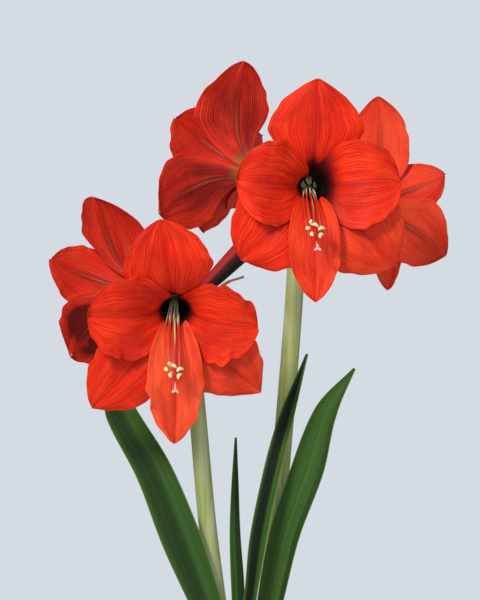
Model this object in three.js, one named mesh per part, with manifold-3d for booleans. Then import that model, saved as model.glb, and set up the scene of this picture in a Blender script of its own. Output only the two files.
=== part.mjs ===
import * as THREE from "three";
import { mergeVertices } from "three/addons/utils/BufferGeometryUtils.js";
import Module from "manifold-3d";

// A flowering amaryllis in a clay pot: a bulb set half deep in potting mix, four strap leaves, and two
// flower stems that carry five open blooms and one bud. Sizes are in millimetres and angles in degrees,
// +Z is up, and the plant's front is -Y. The origin is the middle of the pot's foot.

const wasm = await Module();
wasm.setup();

// Driving dimensions.
const GAP = 0.65;
const POT = {
  height: 140, topRadius: 80, footRadius: 56, wall: 6, floor: 8, edge: 1.5,
  rimHeight: 24, rimProud: 4, lip: 2, drainRadius: 5, drainOffset: 30, sides: 24,
};
const SOIL = { top: 120, side: 1.1, shoulder: 6, shoulderDrop: 3, collar: 5, collarRise: 1.5 };
const BULB = {
  profile: [
    [0, 76], [20, 77], [38, 88], [49, 106], [51, 122], [46, 141], [38, 158], [34, 166], [30, 169], [0, 170],
  ],
};
const LEAF = { thickness: 1.6, steps: 9, parts: 4 };
const TEPAL_THICKNESS = 0.85;
const TUBE = {
  length: 28, baseRadius: 5, startForward: 14, startRadius: 6, lean: 16, wall: 3.2, floor: 2, sides: 12,
};
const OVARY = { length: 15, radius: 5.6, sides: 8 };
const PEDICEL = { radius: 3.3, sides: 6, steps: 5 };
const FILAMENT_RADIUS = 0.75;
const STYLE_RADIUS = 0.95;
const ANTHER = { length: 7, width: 3.4 };

// The flower stems, from the foot of each in the bulb to the head that its flowers leave from.
const SCAPES = {
  left: {
    route: [
      [-14, 4, 152], [-15.5, 3, 172], [-22.5, 2, 226], [-29.4, 1, 281.4], [-38.6, 0, 382.6], [-46, 0, 465],
    ],
    foot: 9.2, top: 7.9,
  },
  right: {
    route: [
      [18, 8, 152], [19.5, 7, 172], [26.4, 4, 226], [32.2, 2, 281.4], [40, 0, 369.7], [49.2, 0, 485.6],
      [54.6, 0, 576],
    ],
    foot: 9.6, top: 8.2,
  },
};

// Each leaf's middle line, its width at each of those points, the way its inner face looks, how far its
// edges rise (cup), and how sharply it is folded along its midrib (fold).
const LEAVES = {
  left: {
    route: [
      [-9, -14, 152], [-15, -15, 172], [-33.5, -17, 222], [-56, -19, 280], [-79, -19, 336.6],
      [-109, -17, 390], [-124, -14, 433],
    ],
    widths: [19, 21, 30, 37, 34, 29, 3], face: [0.15, -1, 0.3], cup: 3.5, fold: 0,
  },
  right: {
    route: [
      [15, -9, 152], [19.5, -10, 172], [30.4, -12, 228], [42, -15, 280], [61.6, -20, 336.6],
      [79, -25, 392], [104, -30, 431],
    ],
    widths: [17, 19, 25.5, 28.5, 31, 21.5, 2], face: [-0.25, -1, 0.3], cup: 3.5, fold: 0,
  },
  folded: {
    route: [
      [2, -19.8, 152], [4, -21, 172], [11.8, -23, 228], [18.8, -25, 280], [31.5, -26, 341],
      [42.4, -25, 383], [61.6, -22, 444],
    ],
    widths: [11, 12, 13, 17, 17, 15, 2], face: [-0.45, -1, 0.1], cup: 0, fold: 5,
  },
  centre: {
    route: [
      [0.5, 3, 152], [0, 3, 172], [-2.1, 2, 228], [-4.7, 1, 280], [-4.6, 0, 325], [-3.9, -1, 366.7],
    ],
    widths: [9, 10, 12.4, 10, 6.5, 1.6], face: [0.1, -1, 0.1], cup: 1.2, fold: 0,
  },
};

// One tepal's shape: the turn round the flower's axis (0 is up, 90 is right as it faces you), its length
// and width, how far it leans out of the axis by mid-length (flare), how much further its end rolls back
// (curl, from curlFrom on), where it is widest, how blunt its end is (point), how far half of it may
// reach round the funnel as a share of the funnel's radius (spread), and which side of the neighbours it
// lies on (layer, 1 for the inner three). Cup and tipCup hollow it across. Its end can swing sideways
// (bend), and one half can be wider than the other (skew). Ruffle is the wave's height at its rim.
const TEPAL = {
  length: 116, width: 76, flare: 84, curl: 15, curlFrom: 0.55, widest: 0.6, point: 0.72, spread: 0.98,
  layer: -1, fold: 1.4, cup: 0.001, tipCup: -0.0025, bend: 0, skew: 0, ruffle: 1.5, waves: 3, phase: 0,
};
const TEPALS = {
  top: { ...TEPAL, turn: 0, width: 84 },
  upRight: { ...TEPAL, turn: 78, length: 106, width: 74, layer: 1, flare: 77, cup: 0.006 },
  upLeft: { ...TEPAL, turn: -78, length: 106, width: 74, layer: 1, flare: 77, cup: 0.006 },
  lowRight: { ...TEPAL, turn: 132, width: 74 },
  lowLeft: { ...TEPAL, turn: -132, width: 74 },
  bottom: { ...TEPAL, turn: 180, length: 119, width: 46, layer: 1, flare: 75, curl: 5, cup: 0.006 },
};

// What all tepals share: how many millimetres along it a blade starts and ends leaning out (opening);
// where along its length (0 to 1) it opens from a gutter into a bowl, folds at its midrib and ruffles;
// its width at the root as a share of the full width (neck), how softly it widens out of the tube
// (ease), half its tip's width, and how far its layer stands off.
const BLADE = {
  root: 0.1, steps: 7, parts: 4, spineSteps: 120,
  opening: [17, 80], bowl: [0.2, 0.6], creased: [0.15, 0.5], ruffled: [0.3, 0.6], rolled: [0.6, 1],
  neck: 0.13, ease: 3, tipHalf: 0.5,
  layerRoot: 0.6, layerMiddle: 0.5, layerRim: 1.8, layered: [0.1, 0.4], creaseWidth: 0.16,
};

// The open blooms: the base of each one's tube, the way it faces (yaw 0 is to the front, 90 to the
// right; pitch is up) and what is its own about its tepals.
const BLOOMS = {
  right_front: {
    stem: "right", at: [59.4, -40, 594.6], yaw: 4, pitch: -3,
    tepals: {
      top: { turn: 1.5, length: 120, width: 84, flare: 78, point: 0.85 },
      upRight: {
        turn: 87, length: 102.5, width: 79, flare: 74, curl: 35, curlFrom: 0.7, point: 0.5, spread: 1.3,
      },
      upLeft: {
        turn: -85, length: 95, width: 77, flare: 74, curl: 30, curlFrom: 0.7, point: 0.5, spread: 1.3,
      },
      lowRight: { turn: 133, length: 127, width: 82, curl: 25 },
      lowLeft: { turn: -136, length: 118, width: 78, point: 0.6, curl: 40 },
      bottom: { turn: 180, length: 128, width: 46, widest: 0.55 },
    },
  },
  right_back_left: {
    stem: "right", at: [24, 10, 603.5], yaw: -148, pitch: 17,
    tepals: {
      top: { turn: 3, length: 126, width: 83, curl: 18, widest: 0.52, skew: 0.12 },
      upLeft: { turn: -60, flare: 48, curl: 10, length: 88, width: 60 },
      upRight: { turn: 58, length: 102, width: 68 },
      lowRight: { turn: 123, length: 116, width: 82, curl: 28 },
      lowLeft: { turn: -134, flare: 50, curl: 10, length: 96, width: 60 },
      bottom: { turn: 171, length: 100 },
    },
  },
  right_back_right: {
    stem: "right", at: [103.6, 10, 580.5], yaw: 152, pitch: 4,
    tepals: {
      top: { turn: -1, length: 128, width: 62 },
      upLeft: { turn: -69, length: 96, width: 50, curl: 20 },
      upRight: { turn: 74, flare: 46, curl: 10, length: 97, width: 58 },
      lowLeft: { turn: -127, length: 110, width: 69, curl: 20 },
      lowRight: { turn: 134, flare: 50, curl: 10, length: 103, width: 60 },
      bottom: { turn: 179, length: 112, width: 36 },
    },
  },
  left_front: {
    stem: "left", at: [-59.4, -40, 496.6], yaw: 3, pitch: -18,
    tepals: {
      top: { turn: -8, length: 116, width: 80, widest: 0.56 },
      upRight: {
        turn: 95, length: 98.5, width: 74, curl: 25, curlFrom: 0.7, point: 0.5, spread: 1.3,
      },
      upLeft: {
        turn: -86, length: 103, width: 78, curl: 22, curlFrom: 0.7, point: 0.5, spread: 1.3,
      },
      lowRight: { turn: 132, length: 128, width: 70, point: 0.95 },
      lowLeft: { turn: -139, length: 136, width: 68 },
      bottom: { turn: 180, length: 137, width: 50 },
    },
  },
  left_back: {
    stem: "left", at: [-76, 10, 500], yaw: -142, pitch: 0,
    tepals: {
      top: { turn: -8, length: 111, width: 88, curl: 22, point: 0.5, bend: 44, skew: -0.36 },
      upRight: { turn: 66, length: 104, width: 58 },
      lowRight: { turn: 134, length: 115, width: 70, curl: 40 },
    },
  },
};

// The unopened flower beside them: the base of its tube, its direction, and its radius along its length.
const BUD = {
  stem: "left", at: [-42, -2, 494.2], direction: [1, 0, 1], ribs: 3, ribDepth: 0.06, steps: 11, sides: 12,
  outline: [[0, 4.5], [8, 5.2], [29, 7.6], [57, 9.4], [72, 9.7], [84, 7.9], [91, 4.6], [95, 1.2]],
};

// The two papery bracts that wrapped each head of buds, withered and fallen open round the stem's top.
const SPATHE = { wall: 1.4, height: 6, sides: 10, thickness: 1, cup: 2, steps: 5, parts: 2 };
const SPATHES = {
  left: {
    collar: [-45.2, 0, 455], collarRadius: 9.6,
    bracts: [
      {
        route: [
          [-39.2, -7.5, 453], [-36, -10.5, 466], [-30, -11, 482], [-22, -10, 496], [-13.6, -9.5, 507],
          [4, -8, 514],
        ],
        widths: [9, 11, 10, 6.5, 4, 1.2], face: [-0.6, 0.6, 0.6],
      },
      {
        route: [[-50, 8.3, 453], [-55, 15, 461], [-61, 21, 451], [-63, 25, 428], [-60, 28, 402]],
        widths: [9, 12, 11, 8, 1.4], face: [0.5, -0.8, 0.4],
      },
    ],
  },
  right: {
    collar: [53.9, 0, 566], collarRadius: 9.9,
    bracts: [
      {
        route: [[57.3, 9.2, 564], [61, 16, 571], [66, 22, 562], [67, 26, 537], [63, 28, 511]],
        widths: [9, 12, 11, 8, 1.4], face: [-0.3, -0.9, 0.4],
      },
      {
        route: [[50, -9, 564], [46, -14, 569], [42, -18, 561], [40, -20, 546], [41, -21, 532]],
        widths: [8, 10, 9, 6, 1.4], face: [0.3, 0.9, 0.4],
      },
    ],
  },
};

const material = (color, roughness) => new THREE.MeshStandardMaterial({ color, roughness, metalness: 0 });
const CLAY = material(0xb5633f, 0.9);
const POTTING_MIX = material(0x33251b, 1);
const BULB_SKIN = material(0x7d5330, 0.8);
const LEAF_GREEN = material(0x2f5a26, 0.5);
const STEM_GREEN = material(0xa3ad6c, 0.6);
const TEPAL_RED = material(0xdd3a22, 0.6);
const BUD_RED = material(0x9c1f26, 0.6);
const FILAMENT_RED = material(0xc8503c, 0.5);
const STYLE_PINK = material(0xd9776a, 0.5);
const BRACT_BROWN = material(0x8d6f4c, 0.9);

const radians = THREE.MathUtils.degToRad;
const mix = THREE.MathUtils.lerp;
const vector = ([x, y, z]) => new THREE.Vector3(x, y, z);

function smooth(from, to, x) {
  const t = Math.min(Math.max((x - from) / (to - from), 0), 1);
  return t * t * (3 - 2 * t);
}

// A closed solid from a grid of corners and triangles.
function closedGeometry(corners, triangles) {
  const geometry = new THREE.BufferGeometry();
  const numbers = corners.flatMap((p) => [p.x, p.y, p.z]);
  geometry.setAttribute("position", new THREE.Float32BufferAttribute(numbers, 3));
  geometry.setIndex(triangles);
  return geometry;
}

// Joining and cutting closed solids.
function solidOf(geometry) {
  const bare = geometry.clone();
  bare.deleteAttribute("normal");
  bare.deleteAttribute("uv");
  const merged = mergeVertices(bare, 1e-4);
  const mesh = new wasm.Mesh({
    numProp: 3,
    vertProperties: Float32Array.from(merged.attributes.position.array),
    triVerts: Uint32Array.from(merged.index.array),
  });
  return new wasm.Manifold(mesh);
}

function geometryOf(solid) {
  const { vertProperties, triVerts } = solid.getMesh();
  const geometry = new THREE.BufferGeometry();
  geometry.setAttribute("position", new THREE.Float32BufferAttribute(vertProperties, 3));
  geometry.setIndex(Array.from(triVerts));
  return geometry;
}

// The joined solid's outer skin: small hollows that the join shuts in are filled.
function fused(geometries) {
  const whole = geometries.map(solidOf).reduce((sum, piece) => sum.add(piece));
  const larger = (most, body) => (body.volume() > most.volume() ? body : most);
  return geometryOf(whole.decompose().reduce(larger));
}

function cut(geometry, tools) {
  return geometryOf(tools.map(solidOf).reduce((whole, tool) => whole.subtract(tool), solidOf(geometry)));
}

// A thin closed solid about a grid of mid-surface points, with both faces split alike.
function sheet(grid, thickness) {
  const rows = grid.length;
  const columns = grid[0].length;
  const front = [];
  const back = [];
  for (let i = 0; i < rows; i++) {
    for (let j = 0; j < columns; j++) {
      const along = grid[Math.min(i + 1, rows - 1)][j].clone().sub(grid[Math.max(i - 1, 0)][j]);
      const across = grid[i][Math.min(j + 1, columns - 1)].clone().sub(grid[i][Math.max(j - 1, 0)]);
      const normal = along.cross(across).normalize().multiplyScalar(thickness / 2);
      front.push(grid[i][j].clone().add(normal));
      back.push(grid[i][j].clone().sub(normal));
    }
  }
  const count = front.length;
  const triangles = [];
  for (let i = 0; i + 1 < rows; i++) {
    for (let j = 0; j + 1 < columns; j++) {
      const [a, b] = [i * columns + j, i * columns + j + 1];
      const [c, d] = [a + columns, b + columns];
      triangles.push(a, c, b, b, c, d);
      triangles.push(count + a, count + b, count + c, count + b, count + d, count + c);
    }
  }
  const rim = [];
  for (let j = 0; j + 1 < columns; j++) rim.push(j);
  for (let i = 0; i + 1 < rows; i++) rim.push(i * columns + columns - 1);
  for (let j = columns - 1; j > 0; j--) rim.push((rows - 1) * columns + j);
  for (let i = rows - 1; i > 0; i--) rim.push(i * columns);
  rim.forEach((a, index) => {
    const b = rim[(index + 1) % rim.length];
    triangles.push(a, b, count + a, b, count + b, count + a);
  });
  return closedGeometry([...front, ...back], triangles);
}

// A round rod along a smooth curve, its radius changing evenly between the given values.
function rod(route, radii, steps, sides, ribs = 0, ribDepth = 0) {
  const curve = new THREE.CatmullRomCurve3(route.map(vector), false, "centripetal");
  const frames = curve.computeFrenetFrames(steps, false);
  const corners = [];
  const triangles = [];
  for (let i = 0; i <= steps; i++) {
    const centre = curve.getPointAt(i / steps);
    const place = (i / steps) * (radii.length - 1);
    const before = Math.min(Math.floor(place), radii.length - 2);
    const radius = mix(radii[before], radii[before + 1], place - before);
    for (let j = 0; j < sides; j++) {
      const angle = (2 * Math.PI * j) / sides;
      const reach = radius * (1 + ribDepth * Math.cos(ribs * angle));
      corners.push(centre.clone()
        .addScaledVector(frames.normals[i], reach * Math.cos(angle))
        .addScaledVector(frames.binormals[i], reach * Math.sin(angle)));
    }
  }
  for (let i = 0; i < steps; i++) {
    for (let j = 0; j < sides; j++) {
      const [a, b] = [i * sides + j, i * sides + ((j + 1) % sides)];
      triangles.push(a, b, a + sides, b, b + sides, a + sides);
    }
  }
  const last = steps * sides;
  for (let j = 1; j + 1 < sides; j++) {
    triangles.push(0, j + 1, j);
    triangles.push(last, last + j, last + j + 1);
  }
  return closedGeometry(corners, triangles);
}

// A solid of revolution about +Z from pairs of radius and height.
function turned(profile, sides) {
  const points = profile.map(([r, z]) => new THREE.Vector2(r, z));
  return new THREE.LatheGeometry(points, sides).rotateX(Math.PI / 2);
}

// The pot: tapered wall, thick rim band, flat foot with three drain holes off its middle.
const potRadius = (z) => mix(POT.footRadius, POT.topRadius, z / POT.height);

function pot() {
  const band = POT.height - POT.rimHeight;
  const lipFoot = POT.height - POT.lip;
  const profile = [
    [0, 0],
    [POT.footRadius - POT.edge, 0],
    [POT.footRadius, POT.edge],
    [potRadius(band), band],
    [potRadius(band) + POT.rimProud, band + POT.edge],
    [POT.topRadius + POT.rimProud, lipFoot],
    [POT.topRadius + POT.rimProud - POT.lip, POT.height],
    [POT.topRadius - POT.wall + POT.lip, POT.height],
    [POT.topRadius - POT.wall, lipFoot],
    [potRadius(POT.floor) - POT.wall, POT.floor],
    [0, POT.floor],
  ];
  const drains = [90, 210, 330].map(radians).map((angle) => {
    const drain = new THREE.CylinderGeometry(POT.drainRadius, POT.drainRadius, 4 * POT.floor, 12);
    drain.rotateX(Math.PI / 2);
    return drain.translate(POT.drainOffset * Math.cos(angle), POT.drainOffset * Math.sin(angle), 0);
  });
  return cut(turned(profile, POT.sides), drains);
}

// The potting mix fills the pot and holds the lower half of the bulb.
function soil() {
  const buried = BULB.profile.filter(([, z]) => z < SOIL.top);
  const seat = buried.map(([r, z]) => [r === 0 ? 0 : r + GAP, z - GAP]);
  const bulbRadius = BULB.profile[buried.length][0];
  const wallRadius = (z) => potRadius(z) - POT.wall - SOIL.side;
  const shoulder = SOIL.top - SOIL.shoulderDrop;
  const profile = [
    [0, POT.floor + GAP],
    [wallRadius(POT.floor) - 1, POT.floor + GAP],
    [wallRadius(shoulder), shoulder],
    [wallRadius(SOIL.top) - SOIL.shoulder, SOIL.top],
    [bulbRadius + SOIL.collar, SOIL.top + SOIL.collarRise],
    [bulbRadius + 0.8, SOIL.top - 1],
    ...seat.reverse(),
  ];
  return turned(profile, POT.sides);
}

// The bulb, with a close socket in its neck for the foot of each leaf and stem.
function bulb() {
  const sockets = [
    ...Object.values(LEAVES).map((leaf) => strap(leaf, LEAF, GAP)),
    ...Object.values(SCAPES).map((scape) => scapeRod(scape, GAP)),
  ];
  return cut(turned(BULB.profile, POT.sides), sockets);
}

const lowered = ([[x, y, z], ...rest], depth) => [[x, y, z - depth], ...rest];

function scapeRod(scape, grow) {
  return rod(lowered(scape.route, grow), [scape.foot + grow, scape.top + grow], 10, 10);
}

// A leaf or bract: a strap about a smooth middle line, flat at its foot and hollowed above it.
function strap({ route, widths, face, cup, fold }, { thickness, steps, parts }, grow = 0) {
  const curve = new THREE.CatmullRomCurve3(lowered(route, grow).map(vector), false, "centripetal");
  const widthPoints = widths.map((width) => new THREE.Vector3(width, 0, 0));
  const breadths = new THREE.CatmullRomCurve3(widthPoints, false, "centripetal");
  const inner = vector(face).normalize();
  const grid = [];
  for (let i = 0; i <= steps; i++) {
    const t = i / steps;
    const centre = curve.getPoint(t);
    const along = curve.getTangent(t);
    const side = along.clone().cross(inner).normalize();
    const up = side.clone().cross(along).normalize();
    const half = breadths.getPoint(t).x / 2 + grow;
    const depth = smooth(0, 0.3, t) * (1 - 0.5 * smooth(0.7, 1, t));
    const row = [];
    for (let j = 0; j <= parts; j++) {
      const v = (2 * j) / parts - 1;
      const rise = depth * (cup * v * v + fold * Math.abs(v));
      row.push(centre.clone().addScaledVector(side, v * half).addScaledVector(up, rise));
    }
    grid.push(row);
  }
  return sheet(grid, thickness + 2 * grow);
}

// A tepal's middle line in its flower's frame: how far forward, how far off the axis, and its lean.
function tepalSpine(tepal) {
  const leanAt = (u) => radians(TUBE.lean
    + (tepal.flare - TUBE.lean) * smooth(...BLADE.opening, u * tepal.length)
    + tepal.curl * smooth(tepal.curlFrom, 1, u));
  const step = tepal.length / BLADE.spineSteps;
  const spine = [{ forward: TUBE.startForward, radius: TUBE.startRadius, lean: leanAt(0) }];
  for (let i = 0; i < BLADE.spineSteps; i++) {
    const { forward, radius } = spine[i];
    const lean = leanAt((i + 0.5) / BLADE.spineSteps);
    spine.push({
      forward: forward + step * Math.cos(lean),
      radius: radius + step * Math.sin(lean),
      lean: leanAt((i + 1) / BLADE.spineSteps),
    });
  }
  return spine;
}

// Half a tepal's width: narrow in the tube, widest past its middle, then round to its tip.
function halfWidth(tepal, u, radius) {
  const tip = Math.max((u - tepal.widest) / (1 - tepal.widest), 0);
  const opening = Math.sin((Math.PI / 2) * Math.min(u / tepal.widest, 1)) ** 1.1;
  const rising = BLADE.neck + (1 - BLADE.neck) * opening;
  const free = (tepal.width / 2) * (u < tepal.widest ? rising : (1 - tip * tip) ** tepal.point);
  const room = radius * tepal.spread;
  const eased = -BLADE.ease * Math.log(Math.exp(-free / BLADE.ease) + Math.exp(-room / BLADE.ease));
  return Math.max(eased, BLADE.tipHalf);
}

// How far a tepal's surface stands off its bowl: layer, midrib crease and the ruffle of its rim.
function standOff(tepal, u, v) {
  const layer = BLADE.layerRoot
    + smooth(...BLADE.layered, u) * (BLADE.layerMiddle + BLADE.layerRim * v * v);
  const crease = (Math.exp(-((v / BLADE.creaseWidth) ** 2)) - 0.25) * smooth(...BLADE.creased, u);
  const wave = Math.sin(2 * Math.PI * tepal.waves * u + tepal.phase + 1.3 * Math.sign(v));
  const ruffle = smooth(...BLADE.ruffled, u) * Math.abs(v) ** 2.5 * wave;
  return tepal.layer * layer - tepal.fold * crease + tepal.ruffle * ruffle;
}

// The mid-surface of a tepal in its flower's own frame: x right, y up, z out along the axis.
function tepalGrid(tepal) {
  const spine = tepalSpine(tepal);
  const turn = radians(tepal.turn);
  const outward = new THREE.Vector3(Math.sin(turn), Math.cos(turn), 0);
  const sideways = new THREE.Vector3(Math.cos(turn), -Math.sin(turn), 0);
  const axis = new THREE.Vector3(0, 0, 1);
  const grid = [];
  for (let i = 0; i <= BLADE.steps; i++) {
    const u = BLADE.root + ((1 - BLADE.root) * i) / BLADE.steps;
    const { forward, radius, lean } = spine[Math.round(u * BLADE.spineSteps)];
    const half = halfWidth(tepal, u, radius);
    const bowl = smooth(...BLADE.bowl, u);
    const round = (1 - bowl) / radius + tepal.cup * bowl + tepal.tipCup * smooth(...BLADE.rolled, u);
    const face = axis.clone().multiplyScalar(Math.sin(lean)).addScaledVector(outward, -Math.cos(lean));
    const row = [];
    for (let j = 0; j <= BLADE.parts; j++) {
      const v = (2 * j) / BLADE.parts - 1;
      const angle = v * (1 + tepal.skew * v) * half * round;
      row.push(new THREE.Vector3()
        .addScaledVector(axis, forward)
        .addScaledVector(outward, radius)
        .addScaledVector(sideways, tepal.bend * u * u + Math.sin(angle) / round)
        .addScaledVector(face, (1 - Math.cos(angle)) / round + standOff(tepal, u, v)));
    }
    grid.push(row);
  }
  return grid;
}

function tubeRadius(forward) {
  if (forward < TUBE.startForward) return mix(TUBE.baseRadius, TUBE.startRadius, forward / TUBE.startForward);
  return TUBE.startRadius + (forward - TUBE.startForward) * Math.tan(radians(TUBE.lean));
}

// The flower tube is a deep cup; the six tepals are rooted in its wall.
function perianth(tepals) {
  const half = TUBE.wall / 2;
  const profile = [
    [0, 0],
    [tubeRadius(0) + half, 0],
    [TUBE.startRadius + half, TUBE.startForward],
    [tubeRadius(TUBE.length) + half, TUBE.length],
    [tubeRadius(TUBE.length) - half, TUBE.length],
    [TUBE.startRadius - half, TUBE.startForward],
    [tubeRadius(TUBE.floor) - half, TUBE.floor],
    [0, TUBE.floor],
  ];
  const blades = tepals.map((tepal) => sheet(tepalGrid(tepal), TEPAL_THICKNESS));
  return fused([turned(profile, TUBE.sides), ...blades]);
}

// A short ring about the axis, from its inner and outer radius and its two ends.
function ring({ inner, outer, from, to }, sides) {
  return turned([[inner, from], [outer, from], [outer, to], [inner, to], [inner, from]], sides);
}

// Six filaments stand on a small ring in the tube, droop forward and turn up at their anthers. Each one
// ends its own way across and up from the shared fall.
const STAMEN_RING = { inner: 1.6, outer: 2.95, from: 2.8, to: 6 };
const FILAMENT_FALL = [[4, 0], [24, -1], [44, -6], [58, -13], [72, -23], [85, -33.5], [94, -37.5]];
const FILAMENT_ENDS = [[-1, 6], [5.5, 3], [4.5, -3.5], [-5, -2.5], [-9, 2], [-5.5, 8]];

function stamens() {
  const pieces = [ring(STAMEN_RING, FILAMENT_ENDS.length)];
  const rootRadius = (STAMEN_RING.inner + STAMEN_RING.outer) / 2;
  FILAMENT_ENDS.forEach(([endAcross, endUp], index) => {
    const angle = radians(30 + 60 * index);
    const [rootAcross, rootUp] = [rootRadius * Math.sin(angle), rootRadius * Math.cos(angle)];
    const route = FILAMENT_FALL.map(([forward, fall]) => [
      mix(rootAcross, endAcross, smooth(4, 66, forward)),
      fall + mix(rootUp, endUp, smooth(30, 94, forward)),
      forward,
    ]);
    pieces.push(rod(route, [FILAMENT_RADIUS, FILAMENT_RADIUS * 0.8], 4, 4));
    const [x, y, z] = route.at(-1);
    const anther = new THREE.OctahedronGeometry(1, 0);
    anther.scale(ANTHER.length / 2, ANTHER.width / 2, ANTHER.width / 2);
    pieces.push(anther.rotateZ(0.5 * index).rotateY(0.4 * index).translate(x, y, z + 0.6));
  });
  return fused(pieces);
}

// The style runs under the filaments to a stigma of three short lobes.
const STYLE_FALL = [
  [2.6, 0], [20, -1], [44, -9.5], [58, -16.5], [70, -26], [82, -37], [94, -48], [101, -52.3],
];
const STYLE_ACROSS = -0.4;
const STIGMA_LOBE = { width: 1.2, length: 1.9, depth: 1.1 };

function pistil() {
  const route = STYLE_FALL.map(([forward, fall]) => [STYLE_ACROSS * smooth(50, 101, forward), fall, forward]);
  const [x, y, z] = route.at(-1);
  const lobes = [0, 120, 240].map(radians).map((angle) => {
    const lobe = new THREE.OctahedronGeometry(1, 0);
    lobe.scale(STIGMA_LOBE.width, STIGMA_LOBE.length, STIGMA_LOBE.depth).translate(0, 1.5, 0);
    return lobe.rotateZ(angle).translate(x, y, z + 0.4);
  });
  return fused([rod(route, [STYLE_RADIUS, STYLE_RADIUS * 0.9], 7, 5), ...lobes]);
}

// The placement of a flower, from the base of its tube and the way it faces.
function placement({ at, yaw, pitch, direction }) {
  const [y, p] = [yaw, pitch].map(radians);
  const out = direction ? vector(direction).normalize()
    : new THREE.Vector3(Math.sin(y) * Math.cos(p), -Math.cos(y) * Math.cos(p), Math.sin(p));
  const up = new THREE.Vector3(0, 0, 1).addScaledVector(out, -out.z).normalize();
  const right = up.clone().cross(out);
  return new THREE.Matrix4().makeBasis(right, up, out).setPosition(...at);
}

// Behind each flower: a green ovary, and the short stalk that joins it to the stem's head.
function ovaryAndStalk(flower) {
  const matrix = placement(flower);
  const { length, radius, sides } = OVARY;
  const profile = [
    [0, -length - 4],
    [PEDICEL.radius * 0.8, -length - 2],
    [radius, -length * 0.62],
    [radius, -length * 0.3],
    [TUBE.baseRadius + 0.4, -GAP],
    [0, -GAP],
  ];
  const inOvary = new THREE.Vector3(0, 0, 1 - length).applyMatrix4(matrix);
  const behind = new THREE.Vector3(0, 0, -length - 8).applyMatrix4(matrix);
  const head = vector(SCAPES[flower.stem].route.at(-1));
  const leaving = head.clone().lerp(behind, 0.35).add(new THREE.Vector3(0, 0, 5));
  const start = head.clone().add(new THREE.Vector3(0, 0, -3));
  const route = [start, leaving, behind, inOvary].map((p) => p.toArray());
  const radii = [PEDICEL.radius * 1.25, PEDICEL.radius, PEDICEL.radius];
  const stalk = rod(route, radii, PEDICEL.steps, PEDICEL.sides);
  return [turned(profile, sides).applyMatrix4(matrix), stalk];
}

// A flower stem with the stalks and ovaries of all the flowers that it carries.
function scape(name) {
  const stem = SCAPES[name];
  const head = new THREE.SphereGeometry(stem.top * 1.02, 8, 5);
  head.scale(1, 1, 0.55).translate(...stem.route.at(-1));
  const flowers = [...Object.values(BLOOMS), BUD].filter((flower) => flower.stem === name);
  return fused([scapeRod(stem, 0), head, ...flowers.flatMap(ovaryAndStalk)]);
}

function spathe({ collar, collarRadius, bracts }) {
  const { wall, height, sides } = SPATHE;
  const [inner, outer] = [collarRadius - wall / 2, collarRadius + wall / 2];
  const band = ring({ inner, outer, from: -height / 2, to: height / 2 }, sides).translate(...collar);
  return fused([band, ...bracts.map((bract) => strap({ ...bract, cup: SPATHE.cup, fold: 0 }, SPATHE))]);
}

function bud() {
  const { outline, steps, sides, ribs, ribDepth } = BUD;
  const length = outline.at(-1)[0];
  const radii = Array.from({ length: steps + 1 }, (_, i) => {
    const place = (i / steps) * length;
    const next = Math.max(outline.findIndex(([s]) => s >= place - 1e-6), 1);
    const [[s0, r0], [s1, r1]] = [outline[next - 1], outline[next]];
    return mix(r0, r1, (place - s0) / (s1 - s0));
  });
  return rod([[0, 0, 0], [0, 0, length / 2], [0, 0, length]], radii, steps, sides, ribs, ribDepth);
}

const plant = new THREE.Group();

function place(parent, name, geometry, finish) {
  const mesh = new THREE.Mesh(geometry, finish);
  mesh.name = name;
  parent.add(mesh);
}

function placed(flower) {
  const group = new THREE.Group();
  placement(flower).decompose(group.position, group.quaternion, group.scale);
  plant.add(group);
  return group;
}

place(plant, "pot", pot(), CLAY);
place(plant, "potting_mix", soil(), POTTING_MIX);
place(plant, "bulb", bulb(), BULB_SKIN);
Object.entries(LEAVES).forEach(([name, leaf]) => {
  place(plant, `leaf_${name}`, strap(leaf, LEAF), LEAF_GREEN);
});
Object.keys(SCAPES).forEach((name) => {
  place(plant, `stem_${name}`, scape(name), STEM_GREEN);
});
Object.entries(SPATHES).forEach(([name, parts]) => {
  place(plant, `bracts_${name}`, spathe(parts), BRACT_BROWN);
});
place(placed(BUD), "bud", bud(), BUD_RED);
Object.entries(BLOOMS).forEach(([name, bloom]) => {
  const flower = placed(bloom);
  const tepals = Object.entries(TEPALS).map(([key, shape]) => ({ ...shape, ...bloom.tepals[key] }));
  place(flower, `tepals_${name}`, perianth(tepals), TEPAL_RED);
  place(flower, `stamens_${name}`, stamens(), FILAMENT_RED);
  place(flower, `pistil_${name}`, pistil(), STYLE_PINK);
});

export default plant;
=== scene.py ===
# %% [markdown]
# # A flowering amaryllis in a clay pot
# The measured solids of the plant are already built and placed. This lesson dresses them: each solid
# is replaced by a finer piece of the same form, and each piece gets a finish worked out from nodes.
# The plant's front is -Y, +Z is up, and lengths below are millimetres until they are written to a mesh.

# %% Load the measured solids
import math

import bpy
import numpy as np
from mathutils import Matrix, Vector


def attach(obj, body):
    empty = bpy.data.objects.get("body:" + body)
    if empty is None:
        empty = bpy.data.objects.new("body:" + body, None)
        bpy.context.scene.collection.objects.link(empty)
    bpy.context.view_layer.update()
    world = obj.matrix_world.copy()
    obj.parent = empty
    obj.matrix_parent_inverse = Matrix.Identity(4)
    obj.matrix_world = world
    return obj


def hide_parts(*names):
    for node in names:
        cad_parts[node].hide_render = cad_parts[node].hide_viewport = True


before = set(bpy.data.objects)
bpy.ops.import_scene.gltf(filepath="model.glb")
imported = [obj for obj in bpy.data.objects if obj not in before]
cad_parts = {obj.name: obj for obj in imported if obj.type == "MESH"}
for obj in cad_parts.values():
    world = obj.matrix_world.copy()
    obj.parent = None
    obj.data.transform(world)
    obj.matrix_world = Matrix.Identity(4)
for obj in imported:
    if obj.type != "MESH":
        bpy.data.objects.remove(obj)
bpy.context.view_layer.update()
MM = 0.001
rng = np.random.default_rng(11)

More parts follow.
